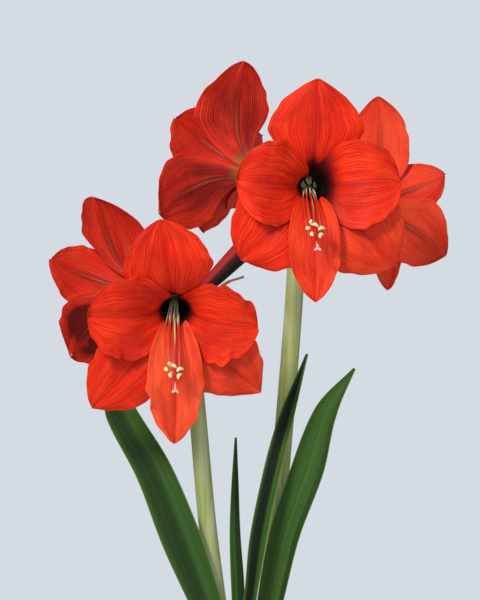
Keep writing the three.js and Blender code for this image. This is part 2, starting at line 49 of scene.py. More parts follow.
# %% [markdown]
# ## The camera
# The camera stands level with the lower edge of the upper blooms and looks straight along +Y, so that
# both front blooms face it. The view is 552 mm high where the stems stand, 1.8 m away: so long a lens
# keeps the nearer blooms from swelling, as a portrait lens does.

# %% Place the camera
VIEW_DISTANCE = 1800
VIEW_HEIGHT = 493
VIEW_SPAN = 552
SENSOR = 36

camera_data = bpy.data.cameras.new("camera")
camera_data.sensor_width = SENSOR
camera_data.lens = SENSOR * VIEW_DISTANCE / VIEW_SPAN
camera = bpy.data.objects.new("camera", camera_data)
bpy.context.scene.collection.objects.link(camera)
camera.location = (0, -VIEW_DISTANCE * MM, VIEW_HEIGHT * MM)
camera.rotation_euler = (math.radians(90), 0, 0)
bpy.context.scene.camera = camera
print("lens:", round(camera_data.lens, 1), "mm")

# %% [markdown]
# ## Floor and light
# A round pale floor carries the pot. A key light stands at the upper left in front, a weak one beside
# the camera reaches into the throats, a fill stands at the right, and one behind draws the rims. Each
# lamp is listed with its place, size, power and colour. The surroundings light the plant softly and
# bluish and are themselves seen paler. The display transform is the plain one, because the filmic one
# washes a saturated red out to pink.

# %% Lay the floor and hang the lights
FLOOR_RADIUS = 1300
FLOWERS = (0, 0, 520)
LAMPS = {
    "key": ((-950, -1600, 1700), 450, 43, (1.0, 0.96, 0.90)),
    "front": ((150, -2000, 850), 500, 5.5, (1.0, 0.97, 0.93)),
    "fill": ((1700, -1300, 700), 1400, 4, (0.90, 0.95, 1.0)),
    "rim": ((700, 1500, 1500), 900, 10, (1.0, 0.98, 0.95)),
}


def pick(*pieces):
    """Selects these pieces alone and makes the first of them active."""
    bpy.ops.object.select_all(action="DESELECT")
    for piece in pieces:
        piece.select_set(True)
    if pieces:
        bpy.context.view_layer.objects.active = pieces[0]


def primitive(kind, name, **settings):
    """Adds the mesh primitive of this kind and names it."""
    pick()
    getattr(bpy.ops.mesh, f"primitive_{kind}_add")(**settings)
    piece = bpy.context.active_object
    piece.name = name
    return piece


floor = primitive("circle", "floor", vertices=128, radius=FLOOR_RADIUS * MM, fill_type="NGON")
for name, (place, size, power, colour) in LAMPS.items():
    pick()
    bpy.ops.object.light_add(type="AREA", location=[x * MM for x in place])
    lamp = bpy.context.active_object
    lamp.name = name
    lamp.data.size = size * MM
    lamp.data.energy = power
    lamp.data.color = colour
    towards = Vector(FLOWERS) - Vector(place)
    lamp.rotation_euler = towards.to_track_quat("-Z", "Y").to_euler()

world = bpy.data.worlds.new("studio")
world.use_nodes = True
air = world.node_tree
lit = air.nodes["Background"]
lit.inputs["Color"].default_value = (0.70, 0.77, 0.88, 1)
lit.inputs["Strength"].default_value = 0.36
seen = air.nodes.new("ShaderNodeBackground")
seen.inputs["Color"].default_value = (0.66, 0.71, 0.76, 1)
sight = air.nodes.new("ShaderNodeLightPath")
either = air.nodes.new("ShaderNodeMixShader")
air.links.new(sight.outputs["Is Camera Ray"], either.inputs[0])
air.links.new(lit.outputs[0], either.inputs[1])
air.links.new(seen.outputs[0], either.inputs[2])
air.links.new(either.outputs[0], air.nodes["World Output"].inputs["Surface"])
bpy.context.scene.world = world
bpy.context.scene.view_settings.view_transform = "Standard"
print("lights:", list(LAMPS))

# %% [markdown]
# ## Shader arithmetic
# A finish is a sum of patterns, and sums read best as sums. `Value` wraps the output of a node and
# gives it +, -, * and /, each of which adds a Math node. `Finish` owns one material, and its `node`
# method adds any other node. A finish's colours are layers, each laid over those before it.

# %% Define the node helpers


class Value:
    """A node's output, which can be added, multiplied and passed on."""

    def __init__(self, finish, socket):
        self.finish = finish
        self.socket = socket

    def at(self, name):
        return Value(self.finish, self.socket.node.outputs[name])

    def _math(self, operation, *values):
        return self.finish.node("ShaderNodeMath", {"operation": operation}, dict(enumerate(values)))

    def __add__(self, other):
        return self._math("ADD", self, other)

    def __sub__(self, other):
        return self._math("SUBTRACT", self, other)

    def __rsub__(self, other):
        return self._math("SUBTRACT", other, self)

    def __mul__(self, other):
        return self._math("MULTIPLY", self, other)

    def __truediv__(self, other):
        return self._math("DIVIDE", self, other)

    def __abs__(self):
        return self._math("ABSOLUTE", self)

    __radd__ = __add__
    __rmul__ = __mul__

    def sine(self):
        return self._math("SINE", self)

    def ramp(self, low, high):
        """0 below low, 1 above high, and smooth between them."""
        settings = {"interpolation_type": "SMOOTHSTEP"}
        return self.finish.node("ShaderNodeMapRange", settings, {"Value": self, 1: low, 2: high})


class Finish:
    """One material and the nodes that it is made of."""

    def __init__(self, name):
        self.material = bpy.data.materials.new(name)
        self.material.use_nodes = True
        self.tree = self.material.node_tree
        self.tree.nodes.clear()

    def node(self, kind, settings, sockets):
        node = self.tree.nodes.new(kind)
        for key, value in settings.items():
            setattr(node, key, value)
        for key, value in sockets.items():
            if isinstance(value, Value):
                self.tree.links.new(value.socket, node.inputs[key])
            else:
                node.inputs[key].default_value = value
        return Value(self, node.outputs[0]) if node.outputs else node

    def uv(self):
        """The surface's own coordinates: across, and along."""
        place = self.node("ShaderNodeUVMap", {"uv_map": "UVMap"}, {})
        parts = self.node("ShaderNodeSeparateXYZ", {}, {0: place})
        return parts.at("X"), parts.at("Y")

    def space(self):
        """The place in the plant's frame, in metres, along X, Y and Z."""
        place = self.node("ShaderNodeTexCoord", {}, {}).at("Object")
        parts = self.node("ShaderNodeSeparateXYZ", {}, {0: place})
        return [parts.at(axis) for axis in "XYZ"]

    def own(self, name):
        """A number that the mesh carries at each of its points."""
        return self.node("ShaderNodeAttribute", {"attribute_name": name}, {}).at("Fac")

    def noise(self, x, y, z, detail=3.0):
        place = self.node("ShaderNodeCombineXYZ", {}, {"X": x, "Y": y, "Z": z})
        settings = {"Vector": place, "Scale": 1.0, "Detail": detail}
        return self.node("ShaderNodeTexNoise", {}, settings).at("Fac")

    def grain(self, wide, tall=None, detail=3.0):
        """A noise in space, which repeats about wide times a metre sideways and tall times upwards."""
        x, y, z = self.space()
        return self.noise(x * wide, y * wide, z * (wide if tall is None else tall), detail)

    def layers(self, colour, *others):
        """Lays each other colour over the ones before it, wholly where its share is 1."""
        for share, other in others:
            sockets = {"Factor": share, 6: colour, 7: other}
            colour = self.node("ShaderNodeMix", {"data_type": "RGBA"}, sockets).at(2)
        return colour

    def bump(self, height, depth):
        """Relief: height from 0 to 1 stands depth millimetres out of the surface."""
        return self.node("ShaderNodeBump", {}, {"Strength": 1.0, "Distance": depth * MM, "Height": height})

    def surface(self, body, roughness, normal=None, specular=0.5, glow=None):
        """Ends the material. The glow is light let through: its share, its colour and its depth in metres."""
        sockets = {"Base Color": body, "Roughness": roughness, "Specular IOR Level": specular}
        if normal:
            sockets["Normal"] = normal
        if glow:
            parts = zip(("Weight", "Radius", "Scale"), glow)
            sockets |= {f"Subsurface {key}": part for key, part in parts}
        shader = self.node("ShaderNodeBsdfPrincipled", {}, sockets)
        self.node("ShaderNodeOutputMaterial", {}, {"Surface": shader})
        return self.material


def paint(red, green, blue):
    """A colour as a screen shows it, 0 to 255, turned into the linear one that nodes use."""
    shares = [c / 255 for c in (red, green, blue)]
    linear = [s / 12.92 if s <= 0.04045 else ((s + 0.055) / 1.055) ** 2.4 for s in shares]
    return (*linear, 1.0)


print("vermilion, linear:", [round(c, 3) for c in paint(226, 24, 4)])

# %% [markdown]
# ## Shaping tools
# Petals and leaves are blades. They could be pushed into shape by hand, but then nothing could be
# measured or changed later. So each starts as a flat grid, across from -1 to 1 and along from 0 to 1. A
# formula carries its points to their places, so size, cup and ruffle stay named numbers, and the grid's
# own UV map comes along for the veins. Stalks and filaments are paths with a radius at each point.

# %% Define the shaping tools


def smooth(low, high, x):
    t = np.clip((np.asarray(x, float) - low) / (high - low), 0, 1)
    return t * t * (3 - 2 * t)


def unit(vectors):
    vectors = np.asarray(vectors, float)
    return vectors / np.linalg.norm(vectors, axis=-1, keepdims=True)


def through(points, t):
    """The smooth centripetal curve through points, at the shares t of its stretches."""
    p = np.asarray(points, float)
    p = np.vstack([2 * p[0] - p[1], p, 2 * p[-1] - p[-2]])
    place = np.clip(np.asarray(t, float), 0, 1) * (len(p) - 3)
    i = np.minimum(place.astype(int), len(p) - 4)
    w = (place - i)[:, None]
    a, b, c, d = p[i], p[i + 1], p[i + 2], p[i + 3]
    before, middle, after = [
        np.maximum(np.linalg.norm(y - x, axis=1), 1e-6)[:, None] ** 0.5 for x, y in ((a, b), (b, c), (c, d))
    ]
    leave = ((b - a) / before - (c - a) / (before + middle) + (c - b) / middle) * middle
    arrive = ((c - b) / middle - (d - b) / (middle + after) + (d - c) / after) * middle
    return b + leave * w + (3 * (c - b) - 2 * leave - arrive) * w**2 + (2 * (b - c) + leave + arrive) * w**3


def points_of(piece):
    numbers = np.empty(3 * len(piece.data.vertices))
    piece.data.vertices.foreach_get("co", numbers)
    return numbers.reshape(-1, 3)


def angles_of(points):
    """The angle of each point round the Z axis."""
    return np.arctan2(points[:, 1], points[:, 0])


def spin(degrees):
    """The turn round the Z axis, to multiply rows of points by from the right."""
    return np.array(Matrix.Rotation(math.radians(degrees), 3, "Z")).T


def set_points(piece, points):
    """Moves the piece's points to these places, in millimetres."""
    piece.data.vertices.foreach_set("co", (np.asarray(points) * MM).ravel())
    piece.data.update()


def carry(piece, name, value):
    """Gives every point of the mesh a number that its finish can read."""
    attribute = piece.data.attributes.new(name, "FLOAT", "POINT")
    values = np.broadcast_to(np.asarray(value, float), len(piece.data.vertices))
    attribute.data.foreach_set("value", np.ascontiguousarray(values))


def blank(name, across, along):
    """A flat grid with its points' places across, -1 to 1, and along, 0 to 1."""
    piece = primitive("grid", name, x_subdivisions=across, y_subdivisions=along, size=2)
    flat = points_of(piece)
    return piece, flat[:, 0], (flat[:, 1] + 1) / 2


def copy_of(piece, points, name="copy"):
    """A copy with a mesh of its own, its points at these places in millimetres."""
    copy = bpy.data.objects.new(name, piece.data.copy())
    copy.data.name = name
    bpy.context.scene.collection.objects.link(copy)
    set_points(copy, points)
    return copy


def apply(piece, kind, **settings):
    """Adds one modifier, sets it and applies it."""
    pick(piece)
    modifier = piece.modifiers.new(kind.lower(), kind)
    for key, value in settings.items():
        setattr(modifier, key, value)
    bpy.ops.object.modifier_apply(modifier=modifier.name)


def thicken(piece, thickness, rim=None, least=0.0, **settings):
    """Gives a sheet its thickness, half to each side, down to the share least where rim is 0."""
    if rim is not None:
        group = piece.vertex_groups.new(name="rim")
        for index, share in enumerate(rim):
            group.add([index], float(share), "REPLACE")
        settings |= {"vertex_group": "rim", "thickness_vertex_group": least}
    apply(piece, "SOLIDIFY", thickness=thickness * MM, offset=0, **settings)


def rounded(piece):
    """One level of subdivision, which rounds every facet."""
    apply(piece, "SUBSURF", levels=1, render_levels=1)


def join(name, pieces):
    pick(*pieces)
    bpy.ops.object.join()
    whole = bpy.context.active_object
    whole.name = name
    whole.data.name = name
    return whole


def rod(name, route, radii, steps, roundness):
    """A round stalk along a smooth route, its radius easing between the given ones."""
    share = np.linspace(0, 1, steps + 1)
    centres = through(route, share)
    radius = np.interp(share, np.linspace(0, 1, len(radii)), radii)
    pick()
    bpy.ops.curve.primitive_nurbs_path_add()
    piece = bpy.context.active_object
    piece.name = name
    path = piece.data
    path.splines.clear()
    line = path.splines.new("POLY")
    line.points.add(steps)
    for point, centre, r in zip(line.points, centres, radius):
        point.co = (*(centre * MM), 1)
        point.radius = r
    path.bevel_depth = MM
    path.bevel_resolution = roundness
    path.use_fill_caps = True
    bpy.ops.object.convert(target="MESH")
    return bpy.context.active_object


def turned(name, profile, sides):
    """A turned form: a disc primitive is extruded and scaled from ring to ring, up to its last point."""
    (first, low), *rest = profile
    piece = primitive(
        "circle", name, vertices=sides, radius=first * MM, location=(0, 0, low * MM), fill_type="TRIFAN")
    bpy.ops.object.transform_apply(location=True)
    bpy.ops.object.mode_set(mode="EDIT")
    bpy.ops.mesh.select_all(action="SELECT")
    bpy.ops.mesh.region_to_loop()
    radius, height = first, low
    for next_radius, next_height in rest:
        next_radius = max(next_radius, 0.05)
        bpy.ops.mesh.extrude_region_move(
            TRANSFORM_OT_translate={"value": (0, 0, (next_height - height) * MM)})
        scale = next_radius / radius
        bpy.ops.transform.resize(value=(scale, scale, 1), center_override=(0, 0, next_height * MM))
        radius, height = next_radius, next_height
    bpy.ops.mesh.merge(type="CENTER")
    bpy.ops.mesh.select_all(action="SELECT")
    bpy.ops.mesh.normals_make_consistent(inside=False)
    bpy.ops.object.mode_set(mode="OBJECT")
    return piece


def coat(piece, *finishes):
    """Gives the piece its finishes, the first one on all of its faces."""
    for finish in finishes:
        piece.data.materials.append(finish)


def dress(piece, node, slot, *finishes):
    """The finished piece takes the place of its solid and rides with the plant."""
    coat(piece, *finishes)
    pick(piece)
    bpy.ops.object.shade_smooth()
    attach(piece, "root")
    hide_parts(node)
    print(piece.name, "faces:", len(piece.data.polygons))

# %% [markdown]
# ## The petals' form
# An amaryllis has three outer and three inner tepals that leave a short tube, lean out and roll back. A
# tepal's middle line adds up small steps whose lean grows. Across it lies an arc: tight in the tube, a
# shallow bowl outside, turned over at the tip. Crease, layer and ruffle are added at right angles to
# the surface. Throat, narrow, shade and pale are marks for the finish and leave the form alone. The shade
# mark sets how much painted shade darkens a petal's back, and the pale mark how much painted light
# lightens a petal towards coral.

# %% Work out a tepal
TUBE = {"start_forward": 14, "start_radius": 6, "base_radius": 5, "lean": 16, "length": 24}
OPENING = (17, 80)
TEPAL_THICKNESS = 0.8
SPINE_STEPS = 120

TEPAL = {
    "length": 116, "width": 76, "flare": 84, "curl": 15, "curl_from": 0.55, "widest": 0.6,
    "point": 0.72, "spread": 0.98, "layer": -1, "fold": 1.4, "cup": 0.001, "tip_cup": -0.0025,
    "bend": 0, "skew": 0, "ruffle": 1.5, "waves": 3, "phase": 0, "throat": 0.30, "frill": 0.7, "nick": 0.02,
    # the shade mark is painted shade on a petal's back; the pale mark is painted light towards coral
    "painted_shade": 0.2, "narrow": 0.16, "pale": 0,
}
TEPALS = {
    "top": dict(turn=0, width=84, throat=0.34),
    "up_right": dict(turn=78, length=106, width=74, layer=1, flare=77, cup=0.006, frill=1.1),
    "up_left": dict(turn=-78, length=106, width=74, layer=1, flare=77, cup=0.006, frill=1.1),
    "low_right": dict(turn=132, width=74),
    "low_left": dict(turn=-132, width=74),
    "bottom": dict(turn=180, length=119, width=46, layer=1, flare=75, curl=5, cup=0.006, throat=0.2),
}


def half_width(t, u, radius):
    """Half the blade: narrow in the tube, widest past its middle, round to its tip."""
    tip = np.maximum((u - t["widest"]) / (1 - t["widest"]), 0)
    opening = 0.13 + 0.87 * np.sin(np.pi / 2 * np.minimum(u / t["widest"], 1)) ** 1.1
    free = t["width"] / 2 * np.where(u < t["widest"], opening, (1 - tip**2) ** t["point"])
    room = radius * t["spread"]
    return np.maximum(-3 * np.log(np.exp(-free / 3) + np.exp(-room / 3)), 0.4)


def tepal_points(t, u, v, draw):
    """The middle surface of a tepal in its flower's frame: x right, y up, z out of the flower."""

    def lean(s):
        opened = smooth(*OPENING, s * t["length"])
        out = TUBE["lean"] + (t["flare"] - TUBE["lean"]) * opened
        return np.radians(out + t["curl"] * smooth(t["curl_from"], 1, s))

    s = np.linspace(0, 1, SPINE_STEPS + 1)
    middles = (s[1:] + s[:-1]) / 2
    step = t["length"] / SPINE_STEPS
    forward = TUBE["start_forward"] + step * np.append(0, np.cumsum(np.cos(lean(middles))))
    radius = TUBE["start_radius"] + step * np.append(0, np.cumsum(np.sin(lean(middles))))
    forward, radius = np.interp(u, s, forward), np.interp(u, s, radius)

    half = half_width(t, u, radius)
    nicks = np.sin(u * 31 + draw[0]) + np.sin(u * 53 + 2 * np.sign(v) + draw[1])
    half = half * (1 + t["nick"] * nicks * smooth(0.45, 0.75, u) * (1 - smooth(0.93, 1, u)))
    bowl = smooth(0.2, 0.6, u)
    curve = (1 - bowl) / radius + t["cup"] * bowl + t["tip_cup"] * smooth(0.6, 1, u)
    angle = v * (1 + t["skew"] * v) * half * curve

    rise = (1 - np.cos(angle)) / curve
    rise += t["layer"] * (0.6 + smooth(0.1, 0.4, u) * (0.5 + 1.8 * v**2))
    rise -= t["fold"] * (np.exp(-((v / 0.16) ** 2)) - 0.25) * smooth(0.15, 0.5, u)
    wave = np.sin(2 * np.pi * t["waves"] * u + t["phase"] + 1.3 * np.sign(v))
    rise += t["ruffle"] * smooth(0.3, 0.6, u) * np.abs(v) ** 2.5 * wave
    frill = np.sin(2 * np.pi * 8 * u + draw[2] + 2 * np.sign(v)) + np.sin(2 * np.pi * 13 * u + draw[3])
    rise += t["frill"] * 0.5 * smooth(0.4, 0.7, u) * np.abs(v) ** 5 * frill

    turn = np.radians(t["turn"])
    outward = np.array([np.sin(turn), np.cos(turn), 0])
    sideways = np.array([np.cos(turn), -np.sin(turn), 0])
    axis = np.array([0.0, 0, 1])
    tilt = lean(u)[:, None]
    face = np.sin(tilt) * axis - np.cos(tilt) * outward
    swing = (t["bend"] * u**2 + np.sin(angle) / curve)[:, None]
    return forward[:, None] * axis + radius[:, None] * outward + swing * sideways + rise[:, None] * face


grid_u = np.linspace(0, 1, 11)
sample = tepal_points({**TEPAL, **TEPALS["top"]}, grid_u, 0 * grid_u, np.zeros(4))
print("a top tepal reaches", [round(x, 1) for x in sample[-1]], "mm")

# %% [markdown]
# ## The five blooms
# Two blooms face the viewer and three look away behind them. The numbers say only what differs from
# the common tepal. They are the solids' numbers, so the fine petals lie in the solids' skin. Only the
# lowest tepal of `right_front` is widest a little further out than in its solid.

# %% List the blooms
# Each pale number is painted light, which lightens that petal towards coral.
ROUND = dict(curl_from=0.7, point=0.5, spread=1.3)
# Each shade number is painted shade on that petal's back, heaviest where it faces down, away from the light.
BLOOMS = {
    "right_front": dict(
        stem="right", at=(59.4, -40, 594.6), yaw=4, pitch=-3, fringe=1.1,
        top=dict(turn=1.5, length=120, flare=78, point=0.85, throat=0.4, narrow=0.5),
        up_right=dict(ROUND, turn=87, length=102.5, width=79, flare=74, curl=35, throat=0.4, narrow=-0.04),
        up_left=dict(ROUND, turn=-85, length=95, width=77, flare=74, curl=30, throat=0.25),
        low_right=dict(turn=133, length=127, width=82, curl=25, throat=0.46, pale=0.22, narrow=0),
        low_left=dict(turn=-136, length=118, width=78, point=0.6, curl=40, throat=0.2),
        bottom=dict(length=128, widest=0.62, pale=0.15)),
    "right_back_left": dict(
        stem="right", at=(24, 10, 603.5), yaw=-148, pitch=17,
        top=dict(turn=3, length=126, width=83, curl=18, widest=0.52, skew=0.12, painted_shade=0.42),
        up_left=dict(turn=-60, flare=48, curl=10, length=88, width=60),
        up_right=dict(turn=58, length=102, width=68, frill=1.8, nick=0.035),
        low_right=dict(turn=123, width=82, curl=28, painted_shade=0.5),
        low_left=dict(turn=-134, flare=50, curl=10, length=96, width=60),
        bottom=dict(turn=171, length=100)),
    "right_back_right": dict(
        stem="right", at=(103.6, 10, 580.5), yaw=152, pitch=4, common=dict(painted_shade=0, pale=0.3),
        top=dict(turn=-1, length=128, width=62),
        up_left=dict(turn=-69, length=96, width=50, curl=20),
        up_right=dict(turn=74, flare=46, curl=10, length=97, width=58),
        low_left=dict(turn=-127, length=110, width=69, curl=20),
        low_right=dict(turn=134, flare=50, curl=10, length=103, width=60),
        bottom=dict(turn=179, length=112, width=36)),
    "left_front": dict(
        stem="left", at=(-59.4, -40, 496.6), yaw=3, pitch=-18,
        top=dict(turn=-8, width=80, widest=0.56, throat=0.33, narrow=0.3),
        up_right=dict(ROUND, turn=95, length=98.5, curl=25, frill=2.2, nick=0.05, throat=0.36),
        up_left=dict(ROUND, turn=-86, length=103, width=78, curl=22, frill=1.8, nick=0.03, throat=0.3),
        low_right=dict(length=128, width=70, point=0.95, frill=1.3, nick=0.03, throat=0.34, pale=0.35),
        low_left=dict(turn=-139, length=136, width=68, frill=1.2, nick=0.025),
        bottom=dict(length=137, width=50, frill=1.4, nick=0.05, throat=0.24, pale=0.55)),
    "left_back": dict(
        stem="left", at=(-76, 10, 500), yaw=-142, pitch=0,
        top=dict(turn=-8, length=111, width=88, curl=22, point=0.5, bend=44, skew=-0.36, painted_shade=0.05),
        up_right=dict(turn=66, length=104, width=58),
        low_right=dict(turn=134, length=115, width=70, curl=40, frill=1.3, painted_shade=1.5)),
}
BUD = dict(stem="left", at=(-42, -2, 494.2), yaw=90, pitch=45)


def placement(flower):
    """The flower's own directions, right, up and out, as the columns of a turn, and its place."""
    yaw, pitch = np.radians(flower["yaw"]), np.radians(flower["pitch"])
    out = np.array([np.sin(yaw) * np.cos(pitch), -np.cos(yaw) * np.cos(pitch), np.sin(pitch)])
    up = unit(np.array([0, 0, 1.0]) - out * out[2])
    return np.stack([np.cross(up, out), up, out], axis=1), np.array(flower["at"], float)


def into_plant(points, flower):
    directions, place = placement(flower)
    return np.asarray(points) @ directions.T + place


print("blooms:", list(BLOOMS))

# %% [markdown]
# ## The petals' finish
# A tepal is vermilion, and its colour isn't even: fine darker veins run along it, and paler streaks lie
# between them, partly the petal's own streaking and partly a painted highlight of its satin sheen. A
# maroon climbs out of the throat like a star: the flower's own dark throat, widened and deepened by
# painted shade of the funnel. The midrib is darker, partly its own colour and partly painted shade in
# its crease. The veins are stripes across the petal's own UV map, so they gather at base and tip as
# real ones do, which a pattern in space wouldn't.
# The back is duller, with a brown midrib, painted shade in the crease beside it and broader painted
# shade where a back faces down, away from the light. A little light passes through.

# %% Mix the petals' colours
VERMILION = paint(226, 24, 4)
# ORANGE_LIGHT: paler streaks, partly the petal's own and partly a painted highlight of its sheen.
ORANGE_LIGHT = paint(246, 68, 20)
# CORAL is laid on by the pale mark: painted light.
CORAL = paint(250, 104, 62)
DEEP_RED = paint(172, 12, 6)
# MAROON and THROAT_BLACK: the throat's own dark colour, deepened by painted shade of the funnel.
MAROON = paint(104, 8, 14)
THROAT_BLACK = paint(24, 3, 6)
BACK_RED = paint(222, 34, 14)
BACK_PINK = paint(236, 72, 42)
# BACK_MAROON is painted shade on a petal's back, round its midrib.
BACK_MAROON = paint(104, 8, 8)
RIB_OLIVE = paint(158, 86, 54)
TUBE_GREEN = paint(126, 132, 72)
TIP_PALE = paint(240, 205, 190)
VEINS = 30


class TepalFinish(Finish):
    """What both sides of a tepal share: its own coordinates, its veins and its tone."""

    def __init__(self, name):
        super().__init__(name)
        self.across, self.along = self.uv()
        self.from_rib = abs(self.across - 0.5)
        self.tone = self.own("tone")
        self.stripe = ((self.across + self.pattern(2.5, 1.5, 40, 1.0) * 0.06) * (2 * math.pi * VEINS)).sine()
        self.strength = self.pattern(13, 5, 30).ramp(0.4, 0.7)

    def pattern(self, across, along, tone, detail=3.0):
        """A noise that repeats so many times across and along, and differs from tepal to tepal."""
        return self.noise(self.across * across, self.along * along, self.tone * tone, detail)

    def rib(self, narrow, wide, low, high):
        """1 on the midrib out to narrow, 0 from wide on, and fading along it from low to high."""
        return (1 - self.from_rib.ramp(narrow, wide)) * (1 - self.along.ramp(low, high))

    def blade(self, body, roughness, relief, specular):
        """Ends the material, with a pale tip and a little light let through."""
        body = self.layers(body, (self.along.ramp(0.99, 1.0) * self.own("tip"), TIP_PALE))
        return self.surface(body, roughness, relief, specular, (0.12, (1.0, 0.25, 0.12), 0.004))


f = TepalFinish("tepal_inside")
vein = f.stripe.ramp(0.0, 1.0) * f.along.ramp(0.05, 0.3) * f.strength
streak = f.pattern(90, 3, 70)
patch = f.pattern(3, 3, 20)
# The throat star is partly the flower's own dark throat and partly painted shade of the funnel.
reach = f.own("throat") - f.from_rib * f.own("narrow")
star = (f.along - (streak - 0.5) * 0.06 - f.stripe * 0.008) / reach
body = f.layers(
    # paler streaks: partly the petal's own, partly painted highlight
    VERMILION, (streak.ramp(0.35, 0.7), ORANGE_LIGHT),
    (patch.ramp(0.4, 0.72) * 0.6, DEEP_RED),
    (vein * 0.5, DEEP_RED),
    # painted light: the pale mark lightens the petal towards coral
    (f.own("pale") * (0.45 + patch.ramp(0.65, 0.35) * 0.55), CORAL),
    # the midrib darkens, partly its own colour and partly painted shade in its crease
    (f.rib(0.0, 0.12, 0.45, 0.9) * 0.5, DEEP_RED),
    (f.rib(0.0, 0.03, 0.8, 1.0) * 0.5, DEEP_RED),
    # the throat star, partly its own colour and partly painted shade
    (1 - star.ramp(0.85, 1.3), MAROON),
    (1 - star.ramp(0.7, 1.1), THROAT_BLACK))
relief = f.bump(streak * 0.3 - vein * 0.4 + patch * 3.5, 0.9)
INSIDE = f.blade(body, 0.48 + streak * 0.2, relief, 0.18)

f = TepalFinish("tepal_outside")
streak = f.pattern(60, 3, 50)
cloud = f.pattern(3, 2.5, 60)
body = f.layers(
    BACK_RED, (streak.ramp(0.35, 0.75), BACK_PINK),
    # painted light: the pale mark lightens the back towards coral
    (f.own("pale") * cloud.ramp(0.3, 0.6), CORAL),
    (f.stripe.ramp(0.0, 1.0) * f.strength * 0.55, DEEP_RED),
    # painted shade on the back, set by the shade mark, where the petal faces away from the light
    (f.rib(0.2, 0.5, 0.6, 0.98) * cloud.ramp(0.25, 0.6) * f.own("painted_shade") * 1.6, BACK_MAROON),
    # painted shade in the crease beside the midrib
    (f.rib(0.03, 0.09, 0.5, 1.0) * 0.6, BACK_MAROON),
    (f.rib(0.008, 0.026, 0.4, 0.85) * 0.85, RIB_OLIVE),
    (1 - f.along.ramp(0.02, 0.3), TUBE_GREEN))
relief = f.bump(streak * 0.3 - f.stripe * 0.2 + cloud * 2.0, 0.7)
OUTSIDE = f.blade(body, 0.52 + streak * 0.15, relief, 0.2)

f = Finish("throat_scale")
grain = f.grain(900)
body = f.layers(paint(176, 178, 120), (grain.ramp(0.35, 0.65), paint(238, 232, 206)))
PALE_SCALE = f.surface(body, 0.6, f.bump(grain, 0.2))

print("petal finishes:", INSIDE.name, OUTSIDE.name, "nodes:", len(INSIDE.node_tree.nodes))

# %% [markdown]
# ## Make the blooms' petals
# Each tepal is a grid thickened on both sides, thinner at the rim, and Solidify gives its far side the
# second material, the petal's back. The tube that they grow from and the pale scale in its mouth are
# made once and copied for every bloom. One level of subdivision rounds the ruffles of the joined bloom.

# %% Grow the petals
TEPAL_GRID = (20, 40)
TUBE_WALL = 1.1
FRINGE = (7.6, 20), (4.6, 30)
FRINGE_WIDTH = 6.5
FRINGE_SAG = 0.25
SHORT_FRINGE = 0.15


def one_tepal(name, t, flower):
    piece, v, u = blank(name, *TEPAL_GRID)
    set_points(piece, into_plant(tepal_points(t, u, v, rng.uniform(0, 6, 4)), flower))
    # the shade mark carries painted shade and the pale mark painted light to the finish
    for mark in ("throat", "painted_shade", "narrow", "pale"):
        carry(piece, mark, t[mark])
    carry(piece, "tip", 0.8 if t["layer"] < 0 else 0.0)
    carry(piece, "tone", rng.uniform())
    coat(piece, INSIDE, OUTSIDE)
    thicken(piece, TEPAL_THICKNESS, 1 - 0.6 * np.abs(v) ** 6, 0.3, material_offset=1)
    return piece


def flower_tube():
    """The tube in its flower's frame, a cup with an open mouth, all in the colour of the petals' backs."""
    start, end = TUBE["start_forward"], TUBE["length"]
    narrow, base = TUBE["start_radius"], TUBE["base_radius"]
    wide = narrow + (end - start) * math.tan(math.radians(TUBE["lean"]))
    piece = turned("tube", [
        (base * 0.6, -0.2), (base + 0.9, 1.2), (base + TUBE_WALL, 5), (narrow + TUBE_WALL, start),
        (wide + TUBE_WALL, end), (wide + 0.2, end + 1.5), (wide - 0.6, end), (narrow - TUBE_WALL, start),
        (base - TUBE_WALL, 3), (0, 2.5)], 32)
    coat(piece, INSIDE, OUTSIDE)
    for face in piece.data.polygons:
        face.material_index = 1
    for loop in piece.data.uv_layers.active.data:
        loop.uv = (0.5, 0.1)
    return piece


TUBE_MODEL = flower_tube()
SCALE_MODEL, SCALE_V, SCALE_U = blank("throat_scale", 8, 8)
coat(SCALE_MODEL, PALE_SCALE)


def fringe(flower):
    """Six copies of the pale scale round the filaments, which sag a little as they leave the tube."""
    (low_radius, low), (high_radius, high) = FRINGE
    ragged = SCALE_U * (1 - 0.3 * SCALE_U * (0.5 + 0.5 * np.sin(SCALE_V * 9)))
    ragged *= flower.get("fringe", SHORT_FRINGE)
    across = SCALE_V * FRINGE_WIDTH / 2 * (1 - 0.45 * SCALE_U)
    outward = low_radius + (high_radius - low_radius) * ragged
    scale = np.stack([across, outward, low + (high - low) * ragged], axis=1)
    pieces = []
    for turn in range(0, 360, 60):
        p = scale @ spin(turn)
        p[:, 1] -= FRINGE_SAG * np.maximum(p[:, 2] - low, 0)
        pieces.append(copy_of(SCALE_MODEL, into_plant(p, flower)))
        thicken(pieces[-1], 0.5)
    return pieces


def bloom_petals(name, flower):
    pieces = [copy_of(TUBE_MODEL, into_plant(points_of(TUBE_MODEL) / MM, flower))] + fringe(flower)
    for key, shape in TEPALS.items():
        t = {**TEPAL, **flower.get("common", {}), **shape, **flower.get(key, {})}
        pieces.append(one_tepal(key, t, flower))
    whole = join(f"petals_{name}", pieces)
    rounded(whole)
    dress(whole, f"tepals_{name}", "tepal_red")


for bloom_name, bloom in BLOOMS.items():
    bloom_petals(bloom_name, bloom)
for model in (TUBE_MODEL, SCALE_MODEL):
    bpy.data.objects.remove(model)

# %% [markdown]
# ## Stamens and pistil
# Six filaments droop out of the tube and turn up at their ends, each with a curved cream anther. The
# style runs below them and opens in three pale lobes. Anther and lobe are balls that are reshaped,
# because they end round on all sides. Both sets are alike in all five flowers, so they are made once, in
# the frame of their flower, and copied into every bloom.

